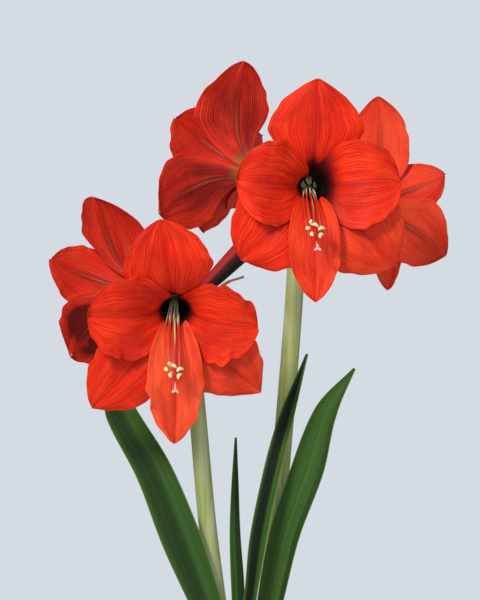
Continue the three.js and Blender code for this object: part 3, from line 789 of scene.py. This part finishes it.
# %% Grow stamens and pistils
FILAMENT_FALL = [(4, 0), (24, -1), (44, -6), (58, -13), (72, -23), (85, -33.5), (94, -37.5)]
FILAMENT_ENDS = [(-1.8, 5.5), (3.6, 2.5), (2.8, -3.5), (-5, -2.5), (-8.6, 2), (-5.6, 7)]
FILAMENT_RADIUS = 0.75
STAMEN_ROOT = 2.25
ANTHER = (7.0, 3.4)
STYLE_FALL = [(2.6, 0), (20, -1), (44, -9.5), (58, -16.5), (70, -26), (82, -37), (94, -48), (101, -52.3)]
STYLE_RADIUS = 0.95
STYLE_ACROSS = -0.4


def run_finish(name, foot, middle, end, change):
    """A stalk's finish: its colour goes from foot to middle to end along it."""
    f = Finish(name)
    run = f.own("run")
    streak = f.grain(900)
    body = f.layers(
        foot, (run.ramp(*change), middle),
        (run.ramp(0.75, 1.0), end),
        (streak * 0.25, DEEP_RED))
    return f.surface(body, 0.35, f.bump(streak, 0.15), glow=(0.1, (1.0, 0.4, 0.3), 0.003))


f = Finish("anther")
grain = f.grain(1800, detail=2.0)
body = f.layers(paint(236, 208, 138), (grain.ramp(0.3, 0.7), paint(255, 244, 205)))
POLLEN = f.surface(body, 0.8, f.bump(grain, 0.25))

FILAMENT = run_finish("filament", paint(222, 224, 176), paint(206, 54, 38), paint(232, 110, 84), (0.44, 0.58))
STYLE = run_finish("style", paint(205, 215, 160), paint(214, 58, 48), paint(246, 196, 188), (0.15, 0.35))


def ball(name, segments, rings):
    """A ball one unit in radius, and its points, to be shaped."""
    piece = primitive("uv_sphere", name, segments=segments, ring_count=rings, radius=1)
    return piece, points_of(piece)


def anther():
    """A bean along X, grooved down its face where it sheds its pollen, and hung by its middle."""
    length, width = ANTHER
    piece, p = ball("anther", 14, 10)
    groove = 1 - 0.3 * np.exp(-((p[:, 1] / 0.3) ** 2)) * (p[:, 0] > 0)
    bend = 0.22 * length * p[:, 2] ** 2
    return piece, np.stack(
        [p[:, 2] * length / 2, p[:, 0] * groove * width / 2 - bend, p[:, 1] * width / 2], axis=1)


def stigma_lobe():
    """One of the three short lobes that the style ends in, leaning out along Y."""
    piece, p = ball("lobe", 12, 8)
    p = p * np.array([1.2, 2.1, 1.0]) + np.array([0, 1.5, 0])
    p[:, 2] += 0.1 * p[:, 1] ** 2
    return piece, p


def stamens():
    """Six filaments with their anthers, in the frame of their flower."""
    forward, fall = np.array(FILAMENT_FALL, float).T
    bean, bean_points = anther()
    stalks, heads = [], []
    for index, (end_across, end_up) in enumerate(FILAMENT_ENDS):
        angle = math.radians(30 + 60 * index)
        root_across, root_up = STAMEN_ROOT * math.sin(angle), STAMEN_ROOT * math.cos(angle)
        x = root_across + (end_across - root_across) * smooth(4, 66, forward)
        y = fall + root_up + (end_up - root_up) * smooth(30, 94, forward)
        route = np.stack([x, y, forward], axis=1)
        stalks.append(rod("filament", route, [FILAMENT_RADIUS, FILAMENT_RADIUS * 0.8], 30, 2))
        coat(stalks[-1], FILAMENT)
        turn = Matrix.Rotation(0.5 * index - 0.3, 3, "Z") @ Matrix.Rotation(0.4 * index, 3, "Y")
        heads.append(copy_of(bean, bean_points @ np.array(turn).T + route[-1] + np.array([0, 0, 0.6])))
        coat(heads[-1], POLLEN)
    bpy.data.objects.remove(bean)
    whole = join("stamens", stalks + heads)
    carry(whole, "run", points_of(whole)[:, 2] / MM / FILAMENT_FALL[-1][0])
    return whole


def pistil():
    """The style and its three lobes, in the frame of their flower."""
    forward, fall = np.array(STYLE_FALL, float).T
    route = np.stack([STYLE_ACROSS * smooth(50, 101, forward), fall, forward], axis=1)
    lobe, lobe_points = stigma_lobe()
    pieces = [rod("style", route, [STYLE_RADIUS, STYLE_RADIUS * 0.9], 40, 2)]
    for turn in (0, 120, 240):
        pieces.append(copy_of(lobe, lobe_points @ spin(turn) + route[-1] + np.array([0, 0, 0.4])))
    bpy.data.objects.remove(lobe)
    whole = join("pistil", pieces)
    carry(whole, "run", np.clip(points_of(whole)[:, 2] / MM / STYLE_FALL[-1][0], 0, 1) ** 3)
    coat(whole, STYLE)
    return whole


MODELS = (("stamens", "filament_red", stamens()), ("pistil", "style_pink", pistil()))
for bloom_name, bloom in BLOOMS.items():
    for part, slot, model in MODELS:
        place = into_plant(points_of(model) / MM, bloom)
        dress(copy_of(model, place, f"{part}_{bloom_name}_fine"), f"{part}_{bloom_name}", slot)
for *_, model in MODELS:
    bpy.data.objects.remove(model)

# %% [markdown]
# ## The bud
# The unopened flower is a spindle of six folded tepals, with three ridges and seams between them. They
# are folded so tightly that single tepals wouldn't show, so it is a turned form whose points are then
# pushed in and out. It is dark crimson, and nearly black beneath: partly a darker colour of its own and
# partly painted shade on the side turned from the light.

# %% Make the bud
BUD_OUTLINE = [(0, 4.5), (8, 5.2), (29, 7.6), (57, 9.4), (72, 9.7), (84, 7.9), (91, 4.6), (95, 1.2)]
BUD_LENGTH = 95
BUD_RIBS = 3
BUD_RIB_DEPTH = 0.06

f = Finish("bud")
across, along = f.own("turn"), f.own("run")
streak = f.noise(across * 3, along * 2.0, along * 0.5)
veins = f.noise(across * 14, along * 3, 0.0)
body = f.layers(
    paint(150, 16, 24), (veins.ramp(0.35, 0.7), paint(186, 36, 38)),
    (streak.ramp(0.4, 0.7) * 0.4, paint(104, 8, 20)),
    # nearly black beneath: partly its own darker colour, partly painted shade
    (f.own("shaded_underside").ramp(0.0, 0.35), paint(34, 6, 12)),
    (1 - along.ramp(0.0, 0.1), paint(112, 120, 62)))
BUD_SKIN = f.surface(body, 0.5, f.bump(veins, 0.35), 0.2, (0.06, (1.0, 0.2, 0.15), 0.003))

heights = np.linspace(0.5, BUD_LENGTH - 0.5, 48)
radii = np.interp(heights, *zip(*BUD_OUTLINE))
radii = np.convolve(np.pad(radii, 2, mode="edge"), np.ones(5) / 5, mode="valid")
profile = [(radii[0] * 0.5, -0.2), *zip(radii, heights), (0, BUD_LENGTH + 0.4)]
piece = turned("bud_fine", profile, 72)
p = points_of(piece) / MM
angle = angles_of(p)
twist = angle + 0.25 * p[:, 2] / BUD_LENGTH
push = 1 + BUD_RIB_DEPTH * np.cos(BUD_RIBS * angle)
seam = np.exp(-(((np.mod(twist / (2 * np.pi) * BUD_RIBS, 1) - 0.5) / 0.05) ** 2))
push -= 0.045 * seam * smooth(0, 25, p[:, 2])
p[:, :2] *= push[:, None]
carry(piece, "run", p[:, 2] / BUD_LENGTH)
carry(piece, "turn", np.sin(angle) * 2)
# the underside, where the bud is nearly black: partly its own colour and partly painted shade
carry(piece, "shaded_underside", -np.sin(angle + 0.35))
set_points(piece, into_plant(p, BUD))
dress(piece, "bud", "bud_red", BUD_SKIN)

# %% [markdown]
# ## Stems, stalks and ovaries
# At a stem's head each flower leaves on a short stalk that swells to a green ovary, which is made once
# and copied. Living tissue has no seams, and a Boolean would leave a sharp crease at every joint, so all
# are joined, remeshed into one skin and smoothed.

# %% Grow the stems
SCAPES = {
    "left": dict(
        route=[(-14, 4, 152), (-15.5, 3, 172), (-22.5, 2, 226), (-29.4, 1, 281.4), (-38.6, 0, 382.6),
               (-46, 0, 465)], foot=9.2, top=7.9),
    "right": dict(
        route=[(18, 8, 152), (19.5, 7, 172), (26.4, 4, 226), (32.2, 2, 281.4), (40, 0, 369.7),
               (49.2, 0, 485.6), (54.6, 0, 576)], foot=9.6, top=8.2),
}
OVARY_LENGTH = 15
OVARY_RADIUS = 5.6
PEDICEL_RADIUS = 3.3
STEM_VOXEL = 1.1

f = Finish("stem")
height = f.space()[2]
line = f.grain(420, 6)
cloud = f.grain(60, 14)
body = f.layers(
    paint(142, 156, 82), (line.ramp(0.3, 0.75), paint(172, 182, 114)),
    (cloud.ramp(0.45, 0.75) * 0.6, paint(190, 196, 166)),
    (1 - height.ramp(0.15, 0.24), paint(118, 128, 66)))
STEM = f.surface(body, 0.42 + cloud * 0.2, f.bump(line, 0.25), glow=(0.08, (0.6, 1.0, 0.3), 0.003))


def ovary():
    """The swollen end of a flower's stalk, in the frame of the flower, with three soft ridges."""
    length, radius = OVARY_LENGTH, OVARY_RADIUS
    piece = turned("ovary", [
        (PEDICEL_RADIUS * 0.5, -length - 4), (PEDICEL_RADIUS * 0.9, -length - 2),
        (radius * 0.8, -length * 0.8), (radius, -length * 0.6), (radius, -length * 0.35),
        (5.5, -length * 0.12), (5.2, -0.4), (0, -0.4)], 30)
    p = points_of(piece) / MM
    p[:, :2] *= (1 + 0.05 * np.cos(3 * angles_of(p)))[:, None]
    return piece, p


OVARY_MODEL, OVARY_POINTS = ovary()


def ovary_and_stalk(flower):
    behind = into_plant([0, 0, -OVARY_LENGTH - 8], flower)
    inside = into_plant([0, 0, 1 - OVARY_LENGTH], flower)
    head = np.array(SCAPES[flower["stem"]]["route"][-1], float)
    leaving = head + 0.35 * (behind - head) + np.array([0, 0, 5])
    route = [head - np.array([0, 0, 3]), leaving, behind, inside]
    stalk = rod("stalk", route, [PEDICEL_RADIUS * 1.25, PEDICEL_RADIUS, PEDICEL_RADIUS], 20, 3)
    return [copy_of(OVARY_MODEL, into_plant(OVARY_POINTS, flower)), stalk]


for name, shape in SCAPES.items():
    stalk = rod("stem", shape["route"], [shape["foot"], shape["top"]], 60, 6)
    head, p = ball("head", 24, 12)
    set_points(head, p * shape["top"] * 1.02 * np.array([1, 1, 0.55]) + np.array(shape["route"][-1]))
    flowers = [f for f in [*BLOOMS.values(), BUD] if f["stem"] == name]
    parts = [stalk, head]
    for flower in flowers:
        parts += ovary_and_stalk(flower)
    whole = join(f"stem_{name}_fine", parts)
    apply(whole, "REMESH", mode="VOXEL", voxel_size=STEM_VOXEL * MM)
    apply(whole, "SMOOTH", factor=0.5, iterations=6)
    dress(whole, f"stem_{name}", "stem_green", STEM)

bpy.data.objects.remove(OVARY_MODEL)

# %% [markdown]
# ## Leaves
# The strap leaves arch out of the bulb's neck, hollowed like a gutter, and one is folded. A swept
# section would keep its shape from end to end, so each is a grid laid along a smooth middle line, which
# widens, hollows and thins as the leaf does. Its band says where across it a dark stripe of painted
# shade runs, how wide it is and how dark: the shade in the leaf's gutter or on its folded half.

# %% Grow the leaves
# Each band gives a stripe of painted shade: its centre across the leaf, its width and its darkness.
LEAVES = {
    "left": dict(
        route=[(-9, -14, 152), (-15, -15, 172), (-33.5, -17, 222), (-56, -19, 280), (-79, -19, 336.6),
               (-109, -17, 390), (-124, -14, 433)],
        widths=[19, 21, 30, 37, 34, 29, 3], face=(0.15, -1, 0.3), cup=3.5, fold=0, band=(0.36, 0.26, 0.6)),
    "right": dict(
        route=[(15, -9, 152), (19.5, -10, 172), (30.4, -12, 228), (42, -15, 280), (61.6, -20, 336.6),
               (79, -25, 392), (104, -30, 431)],
        widths=[17, 19, 25.5, 28.5, 31, 21.5, 2], face=(-0.25, -1, 0.3), cup=3.5, fold=0,
        band=(0.95, 0.16, 0.5)),
    "folded": dict(
        route=[(2, -19.8, 152), (4, -21, 172), (11.8, -23, 228), (18.8, -25, 280), (31.5, -26, 341),
               (42.4, -25, 383), (61.6, -22, 444)],
        widths=[11, 12, 13, 17, 17, 15, 2], face=(-0.45, -1, 0.1), cup=0, fold=5, band=(0.36, 0.3, 0.98)),
    "centre": dict(
        route=[(0.5, 3, 152), (0, 3, 172), (-2.1, 2, 228), (-4.7, 1, 280), (-4.6, 0, 325), (-3.9, -1, 366.7)],
        widths=[9, 10, 12.4, 10, 6.5, 1.6], face=(0.1, -1, 0.1), cup=1.2, fold=0, band=(0.75, 0.3, 0.7)),
}
LEAF_THICKNESS = 1.6

f = Finish("leaf")
across, along = f.uv()
tone = f.own("tone")
fine = f.noise(across * 60, along * 2, tone * 30)
broad = f.noise(across * 9, along * 0.8, tone * 60)
# painted shade: a dark stripe where the leaf's gutter or folded half turns from the light
painted_shade = 1 - (abs(across - f.own("band")) / f.own("spread")).ramp(0.5, 1.25)
edge = abs(across - 0.5).ramp(0.465, 0.5)
body = f.layers(
    paint(36, 72, 22), (broad.ramp(0.35, 0.7), paint(56, 90, 34)),
    (fine.ramp(0.35, 0.7) * 0.4, paint(82, 120, 48)),
    (painted_shade * f.own("painted_shade"), paint(12, 24, 12)),
    (edge * 0.6, paint(128, 158, 74)),
    (1 - along.ramp(0.03, 0.2), paint(150, 160, 92)))
relief = f.bump(fine + broad * 0.7, 0.35)
LEAF = f.surface(body, 0.42 + fine * 0.2, relief, 0.2, (0.05, (0.3, 1.0, 0.2), 0.002))


def strap_points(shape, u, v):
    """The middle surface of a leaf or bract at the shares u along and v across."""
    centre = through(shape["route"], u)
    along = unit(through(shape["route"], np.minimum(u + 1e-3, 1)) - through(shape["route"], u - 1e-3))
    widths = np.array([[w, 0, 0] for w in shape["widths"]], float)
    half = through(widths, u)[:, 0] / 2
    side = unit(np.cross(along, unit(shape["face"])))
    up = unit(np.cross(side, along))
    depth = smooth(0, 0.3, u) * (1 - 0.5 * smooth(0.7, 1, u))
    rise = depth * (shape["cup"] * v**2 + shape["fold"] * (np.sqrt(v**2 + 0.01) - 0.1))
    return centre + side * (v * half)[:, None] + up * rise[:, None]


for name, shape in LEAVES.items():
    piece, v, u = blank(f"leaf_{name}_fine", 24, 90)
    set_points(piece, strap_points(shape, u, v))
    carry(piece, "tone", rng.uniform())
    # the band's painted shade goes to the finish
    for mark, value in zip(("band", "spread", "painted_shade"), shape["band"]):
        carry(piece, mark, value)
    thicken(piece, LEAF_THICKNESS, 1 - 0.75 * np.abs(v) ** 3, 0.2)
    rounded(piece)
    dress(piece, f"leaf_{name}", "leaf_green", LEAF)

# %% [markdown]
# ## Withered bracts
# Two papery bracts wrapped each head of buds. Now they hang round the stem's top, tan and crumpled, one
# of them still upright beside the bud. Each is a thin grid like a leaf, because it bends like one, with
# a random crumple on it. A turned ring shows where each pair grew from the stem.

# %% Fold the bracts
SPATHES = {
    "left": dict(
        collar=(-45.2, 0, 455), radius=9.6,
        bracts=[
            dict(route=[(-39.2, -7.5, 453), (-36, -10.5, 466), (-30, -11, 482), (-22, -10, 496),
                        (-13.6, -9.5, 507), (4, -8, 514)],
                 widths=[9, 11, 10, 6.5, 4, 1.2], face=(-0.6, 0.6, 0.6)),
            dict(route=[(-50, 8.3, 453), (-55, 15, 461), (-61, 21, 451), (-63, 25, 428), (-60, 28, 402)],
                 widths=[9, 12, 11, 8, 1.4], face=(0.5, -0.8, 0.4)),
        ]),
    "right": dict(
        collar=(53.9, 0, 566), radius=9.9,
        bracts=[
            dict(route=[(57.3, 9.2, 564), (61, 16, 571), (66, 22, 562), (67, 26, 537), (63, 28, 511)],
                 widths=[9, 12, 11, 8, 1.4], face=(-0.3, -0.9, 0.4)),
            dict(route=[(50, -9, 564), (46, -14, 569), (42, -18, 561), (40, -20, 546), (41, -21, 532)],
                 widths=[8, 10, 9, 6, 1.4], face=(0.3, 0.9, 0.4)),
        ]),
}

f = Finish("dry_bract")
fibre = f.grain(700, 60)
stain = f.grain(70)
body = f.layers(
    paint(116, 88, 48), (fibre.ramp(0.35, 0.7), paint(176, 146, 98)),
    (stain.ramp(0.5, 0.75), paint(128, 66, 62)))
BRACT = f.surface(body, 0.8, f.bump(fibre, 0.4))

for name, shape in SPATHES.items():
    collar, radius = np.array(shape["collar"], float), shape["radius"]
    ring = turned("ring", [
        (radius - 0.6, -3), (radius + 0.3, -3), (radius + 0.7, -1.5), (radius + 0.6, 1.8), (radius + 0.1, 3),
        (radius - 0.7, 3), (radius - 0.8, 0)], 40)
    set_points(ring, points_of(ring) / MM + collar)
    pieces = [ring]
    for bract in shape["bracts"]:
        piece, v, u = blank("bract", 12, 40)
        p = strap_points({**bract, "cup": 2, "fold": 0}, u, v)
        draw = rng.uniform(0, 6, 3)
        crumple = np.sin(u * 40 + draw[0] + 2 * v) * np.sin(v * 5 + draw[1])
        crumple += np.sin(u * 23 + 3 * v + draw[2])
        p += unit(bract["face"]) * (0.35 * smooth(0.15, 0.5, u) * crumple)[:, None]
        set_points(piece, p)
        thicken(piece, 0.7)
        pieces.append(piece)
    whole = join(f"bracts_{name}_fine", pieces)
    rounded(whole)
    dress(whole, f"bracts_{name}", "dry_bract", BRACT)

# %% [markdown]
# ## The bulb
# Half of the bulb stands out of the mix, in brown papery skins that have split and peeled at its neck. A
# bulb is nearly round, so it is a turned form with shallow long ridges. Two thin torn skins are grids
# wrapped round it, and pale green scales stand inside the neck, where the leaves come out.

# %% Make the bulb
BULB_PROFILE = [(20, 77), (38, 88), (49, 106), (51, 122), (46, 141), (38, 158), (34, 166), (30, 169)]
TORN_SKINS = [(96, 150, 0.5), (110, 166, 0.9)]
NECK_SCALES = (27, 22.5)


def skin_finish(name, dark, light):
    f = Finish(name)
    fibre = f.noise(f.own("turn") * 60, f.space()[2] * 30, 0.0)
    stain = f.grain(45)
    body = f.layers(dark, (fibre.ramp(0.3, 0.7), light), (stain.ramp(0.5, 0.8) * 0.6, paint(62, 34, 18)))
    return f.surface(body, 0.55 + stain * 0.2, f.bump(fibre, 0.5), 0.4)


SKIN = skin_finish("bulb_skin", paint(112, 62, 30), paint(176, 116, 64))
SCALE = skin_finish("bulb_scale", paint(150, 150, 92), paint(206, 204, 152))

heights = np.linspace(77, 164, 30)
outline_radii, outline_heights = np.array(BULB_PROFILE, float).T
radii = np.interp(heights, outline_heights, outline_radii)
profile = [(12, 76.4), *zip(radii, heights), (33, 167), (30.5, 168.6), (28, 166), (0, 163)]
body = turned("bulb_fine", profile, 96)
p = points_of(body) / MM
angle = angles_of(p)
p[:, :2] *= (1 + 0.008 * np.sin(angle * 13 + 0.4) + 0.006 * np.sin(angle * 29 + p[:, 2] * 0.05))[:, None]
carry(body, "turn", np.abs(angles_of(p)) / np.pi)
set_points(body, p)
coat(body, SKIN)
pieces = [body]
for index, (low, high, lift) in enumerate(TORN_SKINS):
    skin, v, u = blank("skin", 120, 20)
    angle = np.pi * v * 0.97 + index * 2
    torn = 5 * np.sin(angle * 5 + index) + 3 * np.sin(angle * 11 + 2) + 1.5 * np.sin(angle * 23)
    height = np.minimum(low + (high - 6 + torn - low) * u, 167)
    curl = 2.2 * smooth(0.8, 1, u) * (1 + np.sin(angle * 7))
    radius = np.interp(height, outline_heights, outline_radii) + lift + curl
    p = np.stack([radius * np.cos(angle), radius * np.sin(angle), height], axis=1)
    set_points(skin, p)
    carry(skin, "turn", np.abs(angles_of(p)) / np.pi + 0.37 * index)
    coat(skin, SKIN)
    thicken(skin, 0.4)
    pieces.append(skin)
for radius in NECK_SCALES:
    scale = turned("scale", [
        (radius - 1.2, 158), (radius, 158), (radius - 0.5, 168.5), (radius - 1.2, 169.4),
        (radius - 2.2, 168), (radius - 1.8, 158)], 64)
    p = points_of(scale) / MM
    carry(scale, "turn", np.abs(angles_of(p)) / np.pi)
    set_points(scale, p)
    coat(scale, SCALE)
    pieces.append(scale)
dress(join("bulb_fine", pieces), "bulb", "bulb_skin")

# %% [markdown]
# ## Potting mix
# The mix is dark peat with bark chips and white grains of perlite. Its body is turned, dips at the wall
# and swells round the bulb. The loose crumbs are one ball, copied, squashed and turned at random. They
# could be scattered as instances, but an export drops those, so each crumb is a small mesh.

# %% Fill the pot
POT = dict(height=140, top=80, foot=56, wall=6, floor=8, rim_height=24, rim_proud=4, lip=2,
           edge=1.5, drain_radius=5, drain_offset=30)
SOIL_TOP = 120
SOIL_INSET = 1.1
BULB_SEAT = [(51.6, 112), (49.6, 105.4), (38.6, 87.4), (20.6, 76.4), (0, 75.4)]
CRUMBS = 420
CRUMB_RING = (54.5, 69)


def pot_radius(z):
    return POT["foot"] + (POT["top"] - POT["foot"]) * z / POT["height"]


def mix_finish(name, dark, light):
    f = Finish(name)
    grain = f.grain(500, detail=5.0)
    damp = f.grain(60)
    body = f.layers(dark, (grain.ramp(0.35, 0.7), light), (damp.ramp(0.5, 0.8) * 0.5, paint(20, 14, 10)))
    return f.surface(body, 0.95, f.bump(grain, 1.2), 0.2)


PEAT = mix_finish("peat", paint(38, 26, 18), paint(74, 52, 36))
BARK = mix_finish("bark", paint(78, 50, 30), paint(124, 86, 54))
PERLITE = mix_finish("perlite", paint(196, 190, 178), paint(236, 232, 222))
CRUMB_KINDS = [(PEAT, 2.0, (1, 0.9, 0.6)), (BARK, 3.2, (1, 0.55, 0.35)), (PERLITE, 1.5, (1, 0.9, 0.8))]
CRUMB_SHARES = [0.5, 0.35, 0.15]


def soil_height(radius):
    """The top of the mix, lower at the wall and raised round the bulb."""
    return SOIL_TOP - 3 * smooth(60, 70, radius) + 1.5 * (1 - smooth(51, 60, radius))


inner = SOIL_INSET + POT["wall"]
profile = [
    (46, POT["floor"] + 0.6), (pot_radius(POT["floor"]) - inner - 1, POT["floor"] + 0.6),
    (pot_radius(60) - inner, 60), (pot_radius(117) - inner, 117)]
rings = np.linspace(pot_radius(118) - inner - 0.6, 51.8, 16)
body = turned("soil", [*profile, *zip(rings, soil_height(rings)), *BULB_SEAT], 120)
p = points_of(body) / MM
top = (p[:, 2] > 114) & (np.hypot(p[:, 0], p[:, 1]) < 69)
p[top, 2] += rng.normal(0, 0.45, top.sum())
set_points(body, p)
coat(body, PEAT)
pieces = [body]
crumb = primitive("ico_sphere", "crumb", subdivisions=2, radius=1)
round_points = points_of(crumb)
for _ in range(CRUMBS):
    finish, size, squash = CRUMB_KINDS[rng.choice(3, p=CRUMB_SHARES)]
    radius = rng.uniform(*CRUMB_RING)
    turn = rng.uniform(0, 2 * np.pi)
    lump = np.sin(round_points @ rng.normal(0, 2.5, (3, 1)) + rng.uniform(0, 6))
    p = round_points * (1 + 0.22 * lump) * np.array(squash) * size * rng.uniform(0.5, 1.1)
    around = Matrix.Rotation(rng.uniform(0, 6), 3, "Z")
    tilt = np.array(around @ Matrix.Rotation(rng.normal(0, 0.3), 3, "X"))
    centre = np.array([radius * np.cos(turn), radius * np.sin(turn), soil_height(radius) + 0.2])
    copy = copy_of(crumb, p @ tilt.T + centre)
    coat(copy, finish)
    pieces.append(copy)
bpy.data.objects.remove(crumb)
dress(join("soil_and_crumbs", pieces), "potting_mix", "potting_mix")

# %% [markdown]
# ## The clay pot
# A plain thrown pot is round, so it is turned from its section, with a thick rim band, short arcs at its
# edges and three drain holes cut by Boolean. Fired clay is matt and blotched, with faint rings from the
# wheel and pale salt low down.

# %% Throw the pot
f = Finish("clay")
grain = f.grain(900, detail=4.0)
blotch = f.grain(26, detail=4.0)
rings = f.grain(0, 420, 2.0)
salt = blotch.ramp(0.42, 0.62) * (1 - f.space()[2].ramp(0.015, 0.075)) * grain.ramp(0.35, 0.6)
body = f.layers(
    paint(172, 92, 58), (grain.ramp(0.3, 0.7), paint(196, 116, 78)),
    (blotch.ramp(0.4, 0.75) * 0.6, paint(150, 76, 48)),
    (salt * 0.45, paint(220, 192, 168)))
CLAY = f.surface(body, 0.82 + grain * 0.12, f.bump(rings * 0.7 + grain * 0.3, 0.6), 0.3)


def arc(centre, radius, start, end, steps=6):
    """Points of a round edge about centre, from one angle to another in degrees."""
    angles = np.radians(np.linspace(start, end, steps))
    return [(centre[0] + radius * math.cos(a), centre[1] + radius * math.sin(a)) for a in angles]


band = POT["height"] - POT["rim_height"]
lip = POT["lip"]
outer, inner = POT["top"] + POT["rim_proud"], POT["top"] - POT["wall"]
edge = POT["edge"]
profile = arc((POT["foot"] - edge, edge), edge, -90, 0, 4)
profile += [(pot_radius(z), z) for z in np.linspace(8, band - 1, 20)]
profile += [(pot_radius(band) + 0.3, band - 0.2), (pot_radius(band) + POT["rim_proud"] - 1, band)]
profile += arc((pot_radius(band) + POT["rim_proud"] - 1.2, band + edge), edge, -80, 0, 5)
profile += arc((outer - lip, POT["height"] - lip), lip, 0, 90)
profile += arc((inner + lip, POT["height"] - lip), lip, 90, 180)
profile += [(pot_radius(z) - POT["wall"], z) for z in np.linspace(110, POT["floor"] + 2, 8)]
profile += [(pot_radius(POT["floor"]) - POT["wall"] - 2, POT["floor"]), (0, POT["floor"])]
piece = turned("pot_fine", profile, 128)
drill = primitive("cylinder", "drill", vertices=32, radius=POT["drain_radius"] * MM, depth=0.04)
for angle in np.radians([90, 210, 330]):
    drill.location = np.array([math.cos(angle), math.sin(angle), 0]) * POT["drain_offset"] * MM
    apply(piece, "BOOLEAN", operation="DIFFERENCE", object=drill)
bpy.data.objects.remove(drill)
dress(piece, "pot", "clay", CLAY)
bpy.ops.object.shade_smooth_by_angle(angle=math.radians(40))

# %% [markdown]
# ## The floor's finish
# The floor is a pale matt sheet, with only a trace of tone so that it doesn't look like a cut-out.

# %% Paint the floor
floor_finish = Finish("floor")
pale = floor_finish.layers(paint(212, 212, 210), (floor_finish.grain(5, 1), paint(222, 222, 220)))
floor.data.materials.append(floor_finish.surface(pale, 0.9))
print("floor radius:", FLOOR_RADIUS, "mm")
